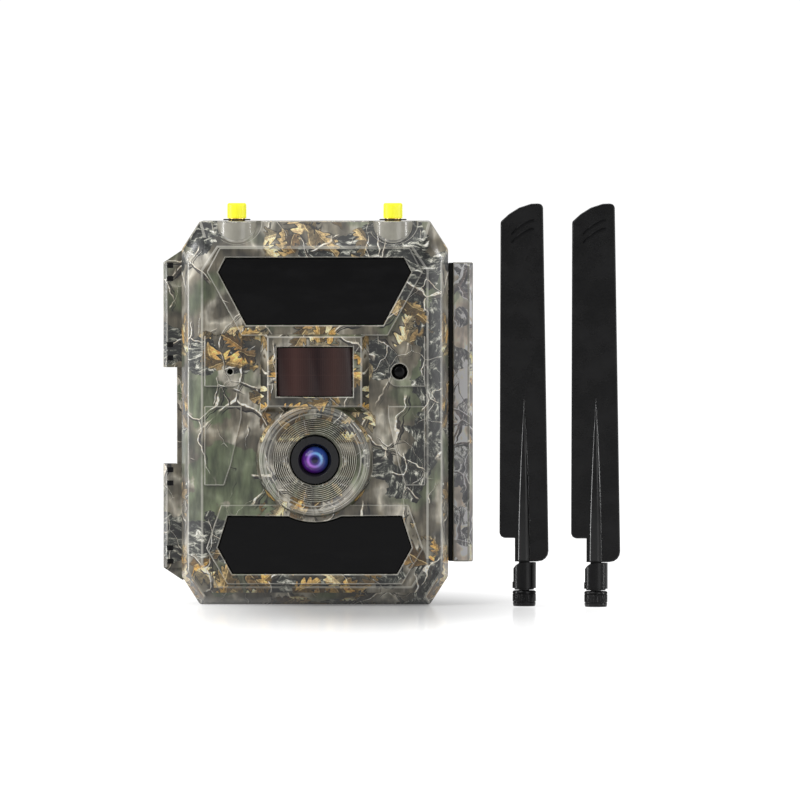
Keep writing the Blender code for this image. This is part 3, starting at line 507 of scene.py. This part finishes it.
def board_material():
    """Green solder mask with paler tracks and tinned pads."""
    made, graph, shader = principled("circuit_board")
    place = graph.vector("SCALE", local_place(graph), 500.0)
    walls = graph.cells(graph.join(*[graph.parts(place)[i] for i in (0, 2)]), "DISTANCE_TO_EDGE", 0.35)[0]
    track = graph.step(walls, 0.10, 0.05)
    pads = graph.step(graph.cells(graph.vector("SCALE", place, 0.7), "F1", 0.2, False)[0], 0.22, 0.18)
    colour = graph.mix(track, srgb(16, 74, 44), srgb(40, 112, 66))
    graph.put(shader.inputs["Base Color"], graph.mix(pads, colour, srgb(196, 190, 172)))
    graph.put(shader.inputs["Metallic"], graph.mul(pads, 0.8))
    graph.put(shader.inputs["Roughness"], 0.35)
    graph.put(shader.inputs["Normal"], graph.bump(track, 0.00006, 0.6))
    return made


def cell_material():
    """A battery sleeve: dark, with a copper-coloured top third and bare steel ends."""
    made, graph, shader = principled("cell_sleeve")
    _, _, z = graph.parts(local_place(graph))
    up = graph.math("FRACT", graph.mul(graph.sub(z, 0.0176), 1 / 0.0536))
    band = graph.step(up, 0.62, 0.625)
    scratch = graph.noise(local_place(graph), 420.0, 6.0, 0.7)
    colour = graph.mix(band, srgb(26, 28, 32), srgb(186, 120, 62))
    graph.put(shader.inputs["Base Color"], graph.mix(graph.step(scratch, 0.62, 0.7), colour, srgb(150, 146, 140)))
    graph.put(shader.inputs["Metallic"], graph.choose(band, 0.2, 0.85))
    graph.put(shader.inputs["Roughness"], graph.step(scratch, 0.3, 0.7, 0.22, 0.4))
    return made


def screen_material():
    """A dark display with a faint pixel grid under gloss."""
    made, graph, shader = principled("display_glass")
    x, _, z = graph.parts(local_place(graph))
    grid = graph.math("MAXIMUM", graph.math("SINE", graph.mul(x, 9000.0)), graph.math("SINE", graph.mul(z, 9000.0)))
    colour = graph.mix(graph.step(grid, 0.6, 1.0), srgb(14, 17, 22), srgb(26, 31, 38))
    graph.put(shader.inputs["Base Color"], colour)
    graph.put(shader.inputs["Roughness"], 0.08)
    graph.put(shader.inputs["Coat Weight"], 0.8)
    return made


def cap_material():
    """Soft yellow rubber that lets light in, brightened by a painted glow from emission."""
    made, graph, shader = principled("cap_yellow")
    place = local_place(graph)
    blotch = graph.noise(place, 300.0, 3.0)
    graph.put(shader.inputs["Base Color"], graph.mix(blotch, srgb(255, 250, 20), srgb(250, 255, 70)))
    graph.put(shader.inputs["Roughness"], 0.42)
    graph.put(shader.inputs["Subsurface Weight"], 0.3)
    graph.put(shader.inputs["Subsurface Radius"], (0.6, 0.5, 0.1))
    graph.put(shader.inputs["Subsurface Scale"], 0.002)
    # Painted glow: emission brightens the cap.
    graph.put(shader.inputs["Emission Color"], srgb(255, 250, 30))
    graph.put(shader.inputs["Emission Strength"], 0.25)
    graph.put(shader.inputs["Normal"], graph.bump(blotch, 0.00004, 0.5))
    return made


# ---------------------------------------------------------------- geometry helpers

def mesh_piece(name, build, material, body, smooth=32):
    """A new piece from a bmesh builder in metres, riding on a body."""
    shape = bmesh.new()
    build(shape)
    bmesh.ops.recalc_face_normals(shape, faces=shape.faces)
    mesh = bpy.data.meshes.new(name)
    shape.to_mesh(mesh)
    shape.free()
    mesh.shade_smooth()
    mesh.set_sharp_from_angle(angle=radians(smooth))
    mesh.materials.append(material)
    made = bpy.data.objects.new(name, mesh)
    bpy.context.scene.collection.objects.link(made)
    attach(made, body)
    return made


def turned(profile, centre, axis="Z", sides=72, wave=None):
    """A closed turned body from (radius, along) points in metres. wave(angle, index) scales a ring's radius."""
    turn = {"Z": Matrix.Identity(3), "Y": Matrix.Rotation(-pi / 2, 3, "X")}[axis]

    def build(shape):
        rings = []
        for index, (radius, along) in enumerate(profile):
            angles = [2 * pi * i / sides for i in range(sides)] if radius else [0.0]
            ring = []
            for angle in angles:
                reach = radius * (wave(angle, index) if wave else 1.0)
                point = turn @ Vector((reach * cos(angle), reach * sin(angle), along)) + Vector(centre)
                ring.append(shape.verts.new(point))
            rings.append(ring)
        pairs = list(zip(rings, rings[1:]))
        if profile[0][0] and profile[-1][0]:
            pairs.append((rings[-1], rings[0]))
        for low, high in pairs:
            for i in range(sides):
                j = (i + 1) % sides
                corners = [low[i % len(low)], low[j % len(low)], high[j % len(high)], high[i % len(high)]]
                shape.faces.new(list(dict.fromkeys(corners)))
    return build


def prism(outline, axis, low, high):
    """A prism from a flat outline. axis is the way it is extruded: X, Y or Z."""
    order = {"X": lambda a, b, d: (d, a, b), "Y": lambda a, b, d: (a, d, b), "Z": lambda a, b, d: (a, b, d)}[axis]

    def build(shape):
        rings = [[shape.verts.new(order(a, b, depth)) for a, b in outline] for depth in (low, high)]
        count = len(outline)
        for i in range(count):
            j = (i + 1) % count
            shape.faces.new((rings[0][i], rings[0][j], rings[1][j], rings[1][i]))
        shape.faces.new(rings[0])
        shape.faces.new(rings[1])
    return build


def welded(piece):
    """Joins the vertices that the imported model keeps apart."""
    weld = piece.modifiers.new("weld", "WELD")
    weld.merge_threshold = 0.00002


def tidy(piece, cutters=()):
    """Joins split vertices and flat faces, then cuts."""
    welded(piece)
    flat = piece.modifiers.new("flat", "DECIMATE")
    flat.decimate_type = "DISSOLVE"
    flat.angle_limit = radians(2)
    flat.delimit = {"MATERIAL"}
    for cutter in cutters:
        cut = piece.modifiers.new("cut", "BOOLEAN")
        cut.operation = "DIFFERENCE"
        cut.solver = "EXACT"
        cut.object = cutter


def shaded(mesh, materials):
    """Smooth shading with the exporter's own normals dropped, and the materials in their slots."""
    if "custom_normal" in mesh.attributes:
        mesh.attributes.remove(mesh.attributes["custom_normal"])
    mesh.shade_smooth()
    if len(mesh.materials):
        mesh.materials.clear()
    for material in materials:
        mesh.materials.append(material)


def dress(nodes, name, material, bevel=0.0):
    """A CAD node's material, smooth shading and rounded edges."""
    node = nodes[name]
    shaded(node.data, (material,))
    if bevel:
        tidy(node)
        rounded = node.modifiers.new("bevel", "BEVEL")
        rounded.width = bevel
        rounded.segments = 2
        rounded.limit_method = "ANGLE"
        rounded.angle_limit = radians(30)
    else:
        welded(node)
    even = node.modifiers.new("even", "WEIGHTED_NORMAL")
    even.keep_sharp = True


def finer(nodes, name, materials, body, rounds, paint, cutters=()):
    """A finer skin that stands for a CAD node. Its sharp edges are rounded region by region, and the new faces get slot
    1, which in the case's and latch's materials is a painted edge highlight.

    rounds is (test of a point, width, shortest edge) sets, and paint gives a face's material slot from its centre and
    normal.
    """
    node = nodes[name]
    tidy(node, cutters)
    whole = node.evaluated_get(bpy.context.evaluated_depsgraph_get())
    shape = bmesh.new()
    shape.from_mesh(whole.to_mesh())
    whole.to_mesh_clear()
    node.modifiers.clear()
    shape.normal_update()
    bmesh.ops.dissolve_limit(shape, angle_limit=radians(1.5), verts=shape.verts, edges=shape.edges)
    for face in shape.faces:
        face.material_index = paint(face.calc_center_median(), face.normal)
    for test, width, shortest in rounds:
        edges = []
        for edge in shape.edges:
            ends = edge.verts
            if len(edge.link_faces) != 2 or not edge.is_convex or edge.calc_face_angle() < radians(28):
                continue
            if not all(test(end.co) for end in ends):
                continue
            if edge.calc_length() < shortest:
                continue
            if min(near.calc_length() for end in ends for near in end.link_edges) < width * 0.6:
                continue
            edges.append(edge)
        made = bmesh.ops.bevel(shape, geom=edges, offset=width, segments=2, profile=0.5, affect="EDGES",
                               clamp_overlap=False)
        # The rounded faces take slot 1: a painted edge highlight where slot 1 holds the paler print.
        for face in made["faces"]:
            if face.material_index == 0:
                face.material_index = 1
    bmesh.ops.remove_doubles(shape, verts=shape.verts, dist=0.00001)
    bmesh.ops.dissolve_degenerate(shape, dist=0.00001, edges=shape.edges)
    mesh = bpy.data.meshes.new(f"{name}_skin")
    shape.to_mesh(mesh)
    shape.free()
    shaded(mesh, materials)
    mesh.set_sharp_from_angle(angle=radians(40))
    piece = bpy.data.objects.new(f"{name}_skin", mesh)
    bpy.context.scene.collection.objects.link(piece)
    even = piece.modifiers.new("even", "WEIGHTED_NORMAL")
    even.keep_sharp = True
    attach(piece, body)
    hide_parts(name)
    return piece


def hidden(name, build, body):
    """A shape that only cuts."""
    shape = bmesh.new()
    build(shape)
    bmesh.ops.recalc_face_normals(shape, faces=shape.faces)
    mesh = bpy.data.meshes.new(name)
    shape.to_mesh(mesh)
    shape.free()
    made = bpy.data.objects.new(name, mesh)
    made.hide_render = True
    made.display_type = "WIRE"
    bpy.context.scene.collection.objects.link(made)
    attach(made, body)
    return made


# ---------------------------------------------------------------- pieces of the camera

def slope_height(y):
    """Height of the door's sloped top at a depth."""
    return 0.1474 + (y + 0.0235) * 0.933


def boss_pocket(centre, boss_radius=0.00752, wide=0.0092, deep=0.0088, down=0.0009, sides=48):
    """A shallow pocket in the door's sloped top, round a connector boss."""
    def build(shape):
        rings = []
        for lift, radii in ((-down, (wide, deep)), (0.003, (wide, deep)), (0.003, None), (-down, None)):
            ring = []
            for i in range(sides):
                angle = 2 * pi * i / sides
                across, along = radii or (boss_radius, boss_radius)
                x = centre.x + across * cos(angle)
                y = centre.y + along * sin(angle)
                ring.append(shape.verts.new((x, y, slope_height(y) + lift)))
            rings.append(ring)
        for low, high in zip(rings, rings[1:] + rings[:1]):
            for i in range(sides):
                j = (i + 1) % sides
                shape.faces.new((low[i], low[j], high[j], high[i]))
    return build


def lens_rings(centre, camo, edge):
    """The fine rings moulded into the funnel round the lens, and two coarse ones on the boss. edge is a paler print: a
    painted highlight on the rings' front-facing crests and on both beads.
    """
    def cone(radius):
        return -0.0364 + (0.0163 - radius) * 0.002 / 0.0061
    profile = []
    pitch = 0.00074
    radius = 0.0104
    while radius < 0.0160:
        profile.append((radius, cone(radius) - 0.00008))
        profile.append((radius + pitch * 0.35, cone(radius + pitch * 0.35) - 0.00052))
        profile.append((radius + pitch * 0.65, cone(radius + pitch * 0.65) - 0.00052))
        radius += pitch
    profile += [(0.0161, cone(0.0161) - 0.00008), (0.0161, cone(0.0161) + 0.0004), (0.0104, cone(0.0104) + 0.0004)]
    build = turned(profile, (centre.x, 0.0, centre.z), "Y", 120)
    rings = mesh_piece("lens_rings", build, camo, "door", smooth=20)
    rings.data.materials.append(edge)
    # Faces that face the front take slot 1: a painted highlight on the crests.
    for face in rings.data.polygons:
        if face.normal.y < -0.9:
            face.material_index = 1
    # The beads are wholly in edge: a painted highlight.
    for name, radius in (("lens_bead_inner", 0.0178), ("lens_bead_outer", 0.0203)):
        face = -0.0380 if radius > 0.0193 else -0.0364 - (radius - 0.0163) * 0.0016 / 0.003
        bead = [(radius + 0.00028 * cos(a), face + 0.00028 * sin(a)) for a in (2 * pi * i / 10 for i in range(10))]
        mesh_piece(name, turned(bead, (centre.x, 0.0, centre.z), "Y", 120), edge, "door", smooth=60)


def hinge_inserts(black, windows, left, front):
    """Black plugs in the square windows of the hinge blocks, each with a slot."""
    for number, z in enumerate(windows, 1):
        outline = [
            (left, front), (left + 0.0008, front), (left + 0.0008, front + 0.0006), (left + 0.0016, front + 0.0006),
            (left + 0.0016, front), (left + 0.0023, front), (left + 0.0023, front + 0.0022), (left, front + 0.0022),
        ]
        build = prism([(x, y) for x, y in outline], "Z", z - 0.00095, z + 0.00095)
        mesh_piece(f"hinge_plug_{number}", build, black, "door")


def knurled_nut(name, centre, material, body):
    """The antenna's nut, with a knurled band between two smooth shoulders."""
    x, y = centre
    profile = [
        (0.0033, 0.0), (0.0033, 0.0043), (0.0024, 0.0043), (0.0024, 0.0060), (0.0039, 0.0060), (0.0043, 0.0058),
        (0.00445, 0.0055), (0.00445, 0.0049), (0.0042, 0.0048), (0.00445, 0.0046), (0.00445, 0.0019), (0.0042, 0.0017),
        (0.0042, 0.0015), (0.0044, 0.0013), (0.0043, 0.0005), (0.0041, 0.0),
    ]
    knurl = (9, 10)

    def wave(angle, index):
        return 1.0 - (0.035 if index in knurl and sin(angle * 36) < 0 else 0.0)
    piece = mesh_piece(name, turned(profile, (x, y, 0.0), "Z", 144, wave), material, body, smooth=28)
    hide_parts(name.replace("knurled", "nut"))


def blade_round(x, y):
    """Which edges of a blade are rounded: its outline, away from the foot."""
    def outline(point):
        on_face = abs(abs(point.y - y) - 0.0026) < 0.00005
        return on_face and (point.z > 0.0203 or point.x > x + 0.005)
    return outline, 0.0007, 0.0


def blade_ribs(name, x, y, material, body):
    """Two curved ribs near the blade's tip, on both faces."""
    for side, face in (("front", y - 0.0026), ("back", y + 0.0026)):
        for number, top in enumerate((0.1477, 0.1445), 1):
            steps = 12
            rows = []
            for i in range(steps + 1):
                share = i / steps
                along = -0.0050 + 0.0087 * share
                height = top - 0.0052 * (1 - share) ** 1.6
                width = 0.00082 * (0.35 + sin(pi * min(1.0, 0.12 + share * 0.76)))
                rows.append((x + along, height, width))
            out = -0.00022 if side == "front" else 0.00022

            def build(shape, rows=rows, face=face, out=out):
                rings = []
                for px, pz, half in rows:
                    section = ((face - out, pz - half), (face + out, pz - half * 0.5), (face + out, pz + half * 0.5), (face - out, pz + half))
                    rings.append([shape.verts.new((px, py, z)) for py, z in section])
                for low, high in zip(rings, rings[1:]):
                    for i in range(4):
                        j = (i + 1) % 4
                        shape.faces.new((low[i], low[j], high[j], high[i]))
                shape.faces.new(rings[0])
                shape.faces.new(rings[-1])
            mesh_piece(f"{name}_{side}_{number}", build, material, body, smooth=50)


def blade_ridge(name, x, y, material, body):
    """The glossy tapering ridge that stands proud of both faces of a blade. Sections are (height, wide, deep)."""
    sections = (
        (0.0176, 0.0034, 0.0037), (0.0300, 0.0032, 0.0037), (0.0430, 0.0028, 0.0036), (0.0550, 0.0023, 0.0034),
        (0.0670, 0.0016, 0.0032), (0.0750, 0.0009, 0.0030), (0.0796, 0.0003, 0.0027),
    )
    sides = 32

    def build(shape):
        rings = []
        for height, wide, deep in sections:
            angles = [2 * pi * i / sides for i in range(sides)]
            rings.append([shape.verts.new((x + wide * cos(a), y + deep * sin(a), height)) for a in angles])
        for low, high in zip(rings, rings[1:]):
            for i in range(sides):
                j = (i + 1) % sides
                shape.faces.new((low[i], low[j], high[j], high[i]))
        shape.faces.new(rings[0])
        shape.faces.new(rings[-1])
    mesh_piece(name, build, material, body, smooth=50)


# ---------------------------------------------------------------- stage

def build_stage(view_x, view_z, span, elevation, distance):
    """A wide pale floor with a painted shadow round the trail camera's foot, a white surround, soft lights, and a long
    lens.
    """
    reach = 14.0
    sweep = bpy.data.meshes.new("floor")
    corners = [(-reach, -reach), (reach, -reach), (reach, reach), (-reach, reach)]
    sweep.from_pydata([(x, y, -0.0004) for x, y in corners], [], [(0, 1, 2, 3)])
    made, graph, shader = principled("floor_white")
    blotch = graph.noise(local_place(graph), 3.0, 3.0)
    ray = graph.node("ShaderNodeLightPath")
    seen = graph.math("MAXIMUM", ray.outputs["Is Camera Ray"], ray.outputs["Is Glossy Ray"])
    x, y, _ = graph.parts(local_place(graph))
    # The floor's glow drops near the trail camera: a painted shadow round its foot.
    away = graph.vector("LENGTH", graph.join(graph.mul(graph.sub(x, 0.02), 2.6), graph.mul(graph.add(y, 0.05), 0.75)))
    glow_with_painted_shadow = graph.step(away, 0.04, 0.26, 0.12, 0.74)
    graph.put(shader.inputs["Base Color"], graph.mix(seen, (0.16, 0.16, 0.16), (0.92, 0.92, 0.92)))
    graph.put(shader.inputs["Roughness"], graph.step(blotch, 0.3, 0.7, 0.09, 0.12))
    graph.put(shader.inputs["Emission Color"], (1.0, 1.0, 1.0))
    graph.put(shader.inputs["Emission Strength"], graph.mul(seen, glow_with_painted_shadow))
    sweep.materials.append(made)
    ground = bpy.data.objects.new("floor", sweep)
    bpy.context.scene.collection.objects.link(ground)
    ground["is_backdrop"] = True

    world = bpy.data.worlds.new("studio")
    world.use_nodes = True
    sky = Graph(world.node_tree)
    direct = sky.node("ShaderNodeLightPath").outputs["Is Camera Ray"]
    shine = world.node_tree.nodes["Background"]
    sky.put(shine.inputs["Color"], (1.0, 1.0, 1.0))
    sky.put(shine.inputs["Strength"], sky.choose(direct, 0.36, 1.05))
    bpy.context.scene.world = world
    bpy.context.scene.view_settings.view_transform = "Standard"

    lights = (
        ("key", (-1.0, -1.2, 1.3), (1.3, 1.3), 20.0),
        ("strip_left", (-1.3, -0.1, 0.3), (0.14, 0.7), 7.0),
        ("strip_right", (1.4, -0.2, 0.3), (0.12, 0.5), 5.0),
        ("fill", (1.1, -1.5, 0.5), (0.9, 0.9), 7.0),
        ("top", (0.05, -0.2, 1.5), (0.7, 0.7), 2.5),
        ("behind", (0.1, 1.6, 1.3), (1.2, 1.2), 6.0),
    )
    for name, place, size, power in lights:
        lamp = bpy.data.lights.new(name, "AREA")
        lamp.shape = "RECTANGLE"
        lamp.size, lamp.size_y = size
        lamp.energy = power
        item = bpy.data.objects.new(name, lamp)
        item.location = place
        aim = Vector((0.02, 0.0, 0.07)) - Vector(place)
        item.rotation_euler = aim.to_track_quat("-Z", "Y").to_euler()
        bpy.context.scene.collection.objects.link(item)

    lens = bpy.data.cameras.new("camera")
    lens.sensor_width = 36.0
    lens.lens = lens.sensor_width * distance / span
    lens.clip_start = 0.01
    lens.clip_end = 50.0
    eye = bpy.data.objects.new("camera", lens)
    tilt = radians(elevation)
    eye.location = (view_x, -0.025 - distance * cos(tilt), view_z + distance * sin(tilt))
    eye.rotation_euler = (pi / 2 - tilt, 0.0, 0.0)
    bpy.context.scene.collection.objects.link(eye)
    bpy.context.scene.camera = eye


# ---------------------------------------------------------------- main

HINGE_WINDOWS = (0.0162, 0.0214, 0.0464, 0.0515, 0.0946, 0.0997, 0.1252, 0.1302)


def main():
    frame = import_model()
    nodes = frame["nodes"]
    glass_low, glass_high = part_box("lens_glass")
    lens_centre = (glass_low + glass_high) / 2

    tree = camouflage()
    camo = camo_material("camo_print", tree)
    # A paler copy of the print: a painted highlight for the faces of rounded edges.
    edge = camo_material("camo_edge_painted_highlight", tree, 0.46)
    # A paler copy of the print: a painted highlight on the lens rings' crests and beads.
    crest_painted_highlight = camo_material("camo_ring_crest", tree, 0.55)
    # The latch cover's print, paler towards lavender and about four times brighter: a painted brightening for the light
    # that falls on its face.
    latch_painted_bright = camo_material("camo_faded", tree, 0.28, (236, 233, 242), (4.0, 3.85, 4.1))
    window = window_material()
    black = moulded("black_plastic", srgb(10, 10, 11), (0.36, 0.5), shine=0.18)
    dark = moulded("black_satin", srgb(8, 8, 9), (0.22, 0.32), shine=0.18)
    gloss = moulded("black_gloss", srgb(4, 4, 5), (0.10, 0.15), shine=0.3, depth=0.00001)
    rib = moulded("rib_black", srgb(2, 2, 3), (0.3, 0.4), shine=0.08)
    rubber = moulded("black_rubber", srgb(22, 22, 23), (0.6, 0.8), shine=0.25)
    steel = moulded("turned_steel", srgb(176, 178, 182), (0.22, 0.4), metallic=1.0)
    brass = moulded("plated_brass", srgb(206, 172, 104), (0.2, 0.36), metallic=1.0)
    keys = moulded("key_rubber", srgb(150, 152, 156), (0.5, 0.65))
    card = moulded("card_plastic", srgb(34, 44, 92), (0.35, 0.5))
    # Slot 1, edge, is the painted edge highlight.
    printed = (camo, edge, black, moulded("boss_grey", srgb(150, 147, 136), (0.3, 0.4), coat=0.4))

    looks = {
        "latch_hook_bar": (black, 0.0002), "upper_ir_window": (window, 0.0002), "lower_ir_window": (window, 0.0002),
        "light_sensor": (window, 0.0), "pir_lens": (pir_material(0.0), 0.0), "lens_barrel": (moulded("barrel_black", srgb(24, 24, 26), (0.25, 0.35), shine=0.3), 0.0002),
        "lens_glass": (glass_material(lens_centre), 0.0), "battery_tray": (black, 0.0), "case_gasket": (rubber, 0.0),
        "inner_cover": (black, 0.0003), "display": (screen_material(), 0.0003), "sd_card": (card, 0.0002),
        "power_switch": (keys, 0.0003), "ir_cut_frame": (black, 0.0), "dc_jack": (black, 0.0), "dc_plug": (rubber, 0.0004),
        "tripod_insert": (brass, 0.0), "pir_sensor": (steel, 0.0),
    }
    yellow = cap_material()
    for side in ("left", "right"):
        looks[f"sma_{side}"] = (brass, 0.0)
        looks[f"sma_washer_{side}"] = (rubber, 0.0)
        looks[f"dust_cap_{side}"] = (yellow, 0.0003)
        looks[f"coax_{side}"] = (black, 0.0)
        looks[f"antenna_knuckle_{side}"] = (dark, 0.0002)
        looks[f"antenna_nut_{side}"] = (dark, 0.0)
        looks[f"elbow_pin_{side}"] = (steel, 0.0)
    board = board_material()
    for name in ("upper_ir_board", "lower_ir_board", "main_board", "sensor_board"):
        looks[name] = (board, 0.0)
    for name in ("hinge_pin_lower", "hinge_pin_upper", "latch_pin", "cover_screw_lower", "cover_screw_upper"):
        looks[name] = (steel, 0.0)
    sleeve = cell_material()
    for name in nodes:
        if name.startswith("aa_cell"):
            looks[name] = (sleeve, 0.0003)
        if name.startswith("button_"):
            looks[name] = (keys, 0.0003)
    for name, (material, bevel) in looks.items():
        dress(nodes, name, material, bevel)

    pockets = []
    for side in ("left", "right"):
        low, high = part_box(f"sma_{side}")
        pockets.append(hidden(f"pocket_{side}", boss_pocket((low + high) / 2), "door"))
    middle = Vector((0.0, -0.003, 0.0737))
    posts = [(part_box(f"sma_{side}")[0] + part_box(f"sma_{side}")[1]) / 2 for side in ("left", "right")]

    def case_paint(point, normal):
        """Slot 2 for the hollow's own faces, 3 for the connector bosses, 0 for the print."""
        probe = point + normal * 0.0005
        on_boss = min((Vector((point.x, point.y)) - Vector((post.x, post.y))).length for post in posts) < 0.0079
        if on_boss and point.z > 0.1385:
            return 3 if abs(normal.z) > 0.98 or abs(normal.z) < 0.1 else 0
        hollow = abs(probe.x) < 0.0492 and -0.0322 < probe.y < 0.0295 and 0.0022 < probe.z < 0.1452
        if hollow and normal.dot(point - middle) < 0:
            return 2
        return 0

    def latch_paint(point, normal):
        probe = point + normal * 0.0005
        return 2 if probe.x < 0.0556 and -0.0138 < probe.y < 0.0025 else 0

    relief = (lambda point: point.y < -0.0334, 0.0005, 0.0)
    shell = (lambda point: abs(point.x) < 0.0513 and -0.0333 < point.y < 0.0345 and point.z > -0.001, 0.0006, 0.0)
    hinge = (lambda point: point.x < -0.0514, 0.0003, 0.006)
    finer(nodes, "front_case", printed, "door", (relief, shell, hinge), case_paint, pockets)
    for cutter in pockets:
        bpy.data.objects.remove(cutter)
    finer(nodes, "rear_case", printed, "rear", (shell, hinge), case_paint)
    # The latch cover's slot 0 is its painted brightened print, slot 1 the painted edge highlight.
    finer(nodes, "latch_cover", (latch_painted_bright, edge, black), "latch", ((lambda point: True, 0.0005, 0.0),), latch_paint)

    lens_rings(lens_centre, camo, crest_painted_highlight)
    hinge_inserts(black, HINGE_WINDOWS, -0.05695, -0.0126)
    for side in ("left", "right"):
        low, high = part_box(f"antenna_nut_{side}")
        place = ((low.x + high.x) / 2, (low.y + high.y) / 2)
        knurled_nut(f"antenna_knurled_{side}", place, dark, f"antenna_{side}_nut")
        finer(nodes, f"antenna_blade_{side}", (dark, dark), f"antenna_{side}_blade", (blade_round(*place),),
              lambda point, normal: 0)
        blade_ribs(f"blade_rib_{side}", *place, rib, f"antenna_{side}_blade")
        blade_ridge(f"blade_ridge_{side}", *place, gloss, f"antenna_{side}_blade")

    build_stage(0.0327, 0.0786, 0.3075, 1.0, 5.0)
    low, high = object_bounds()


main()
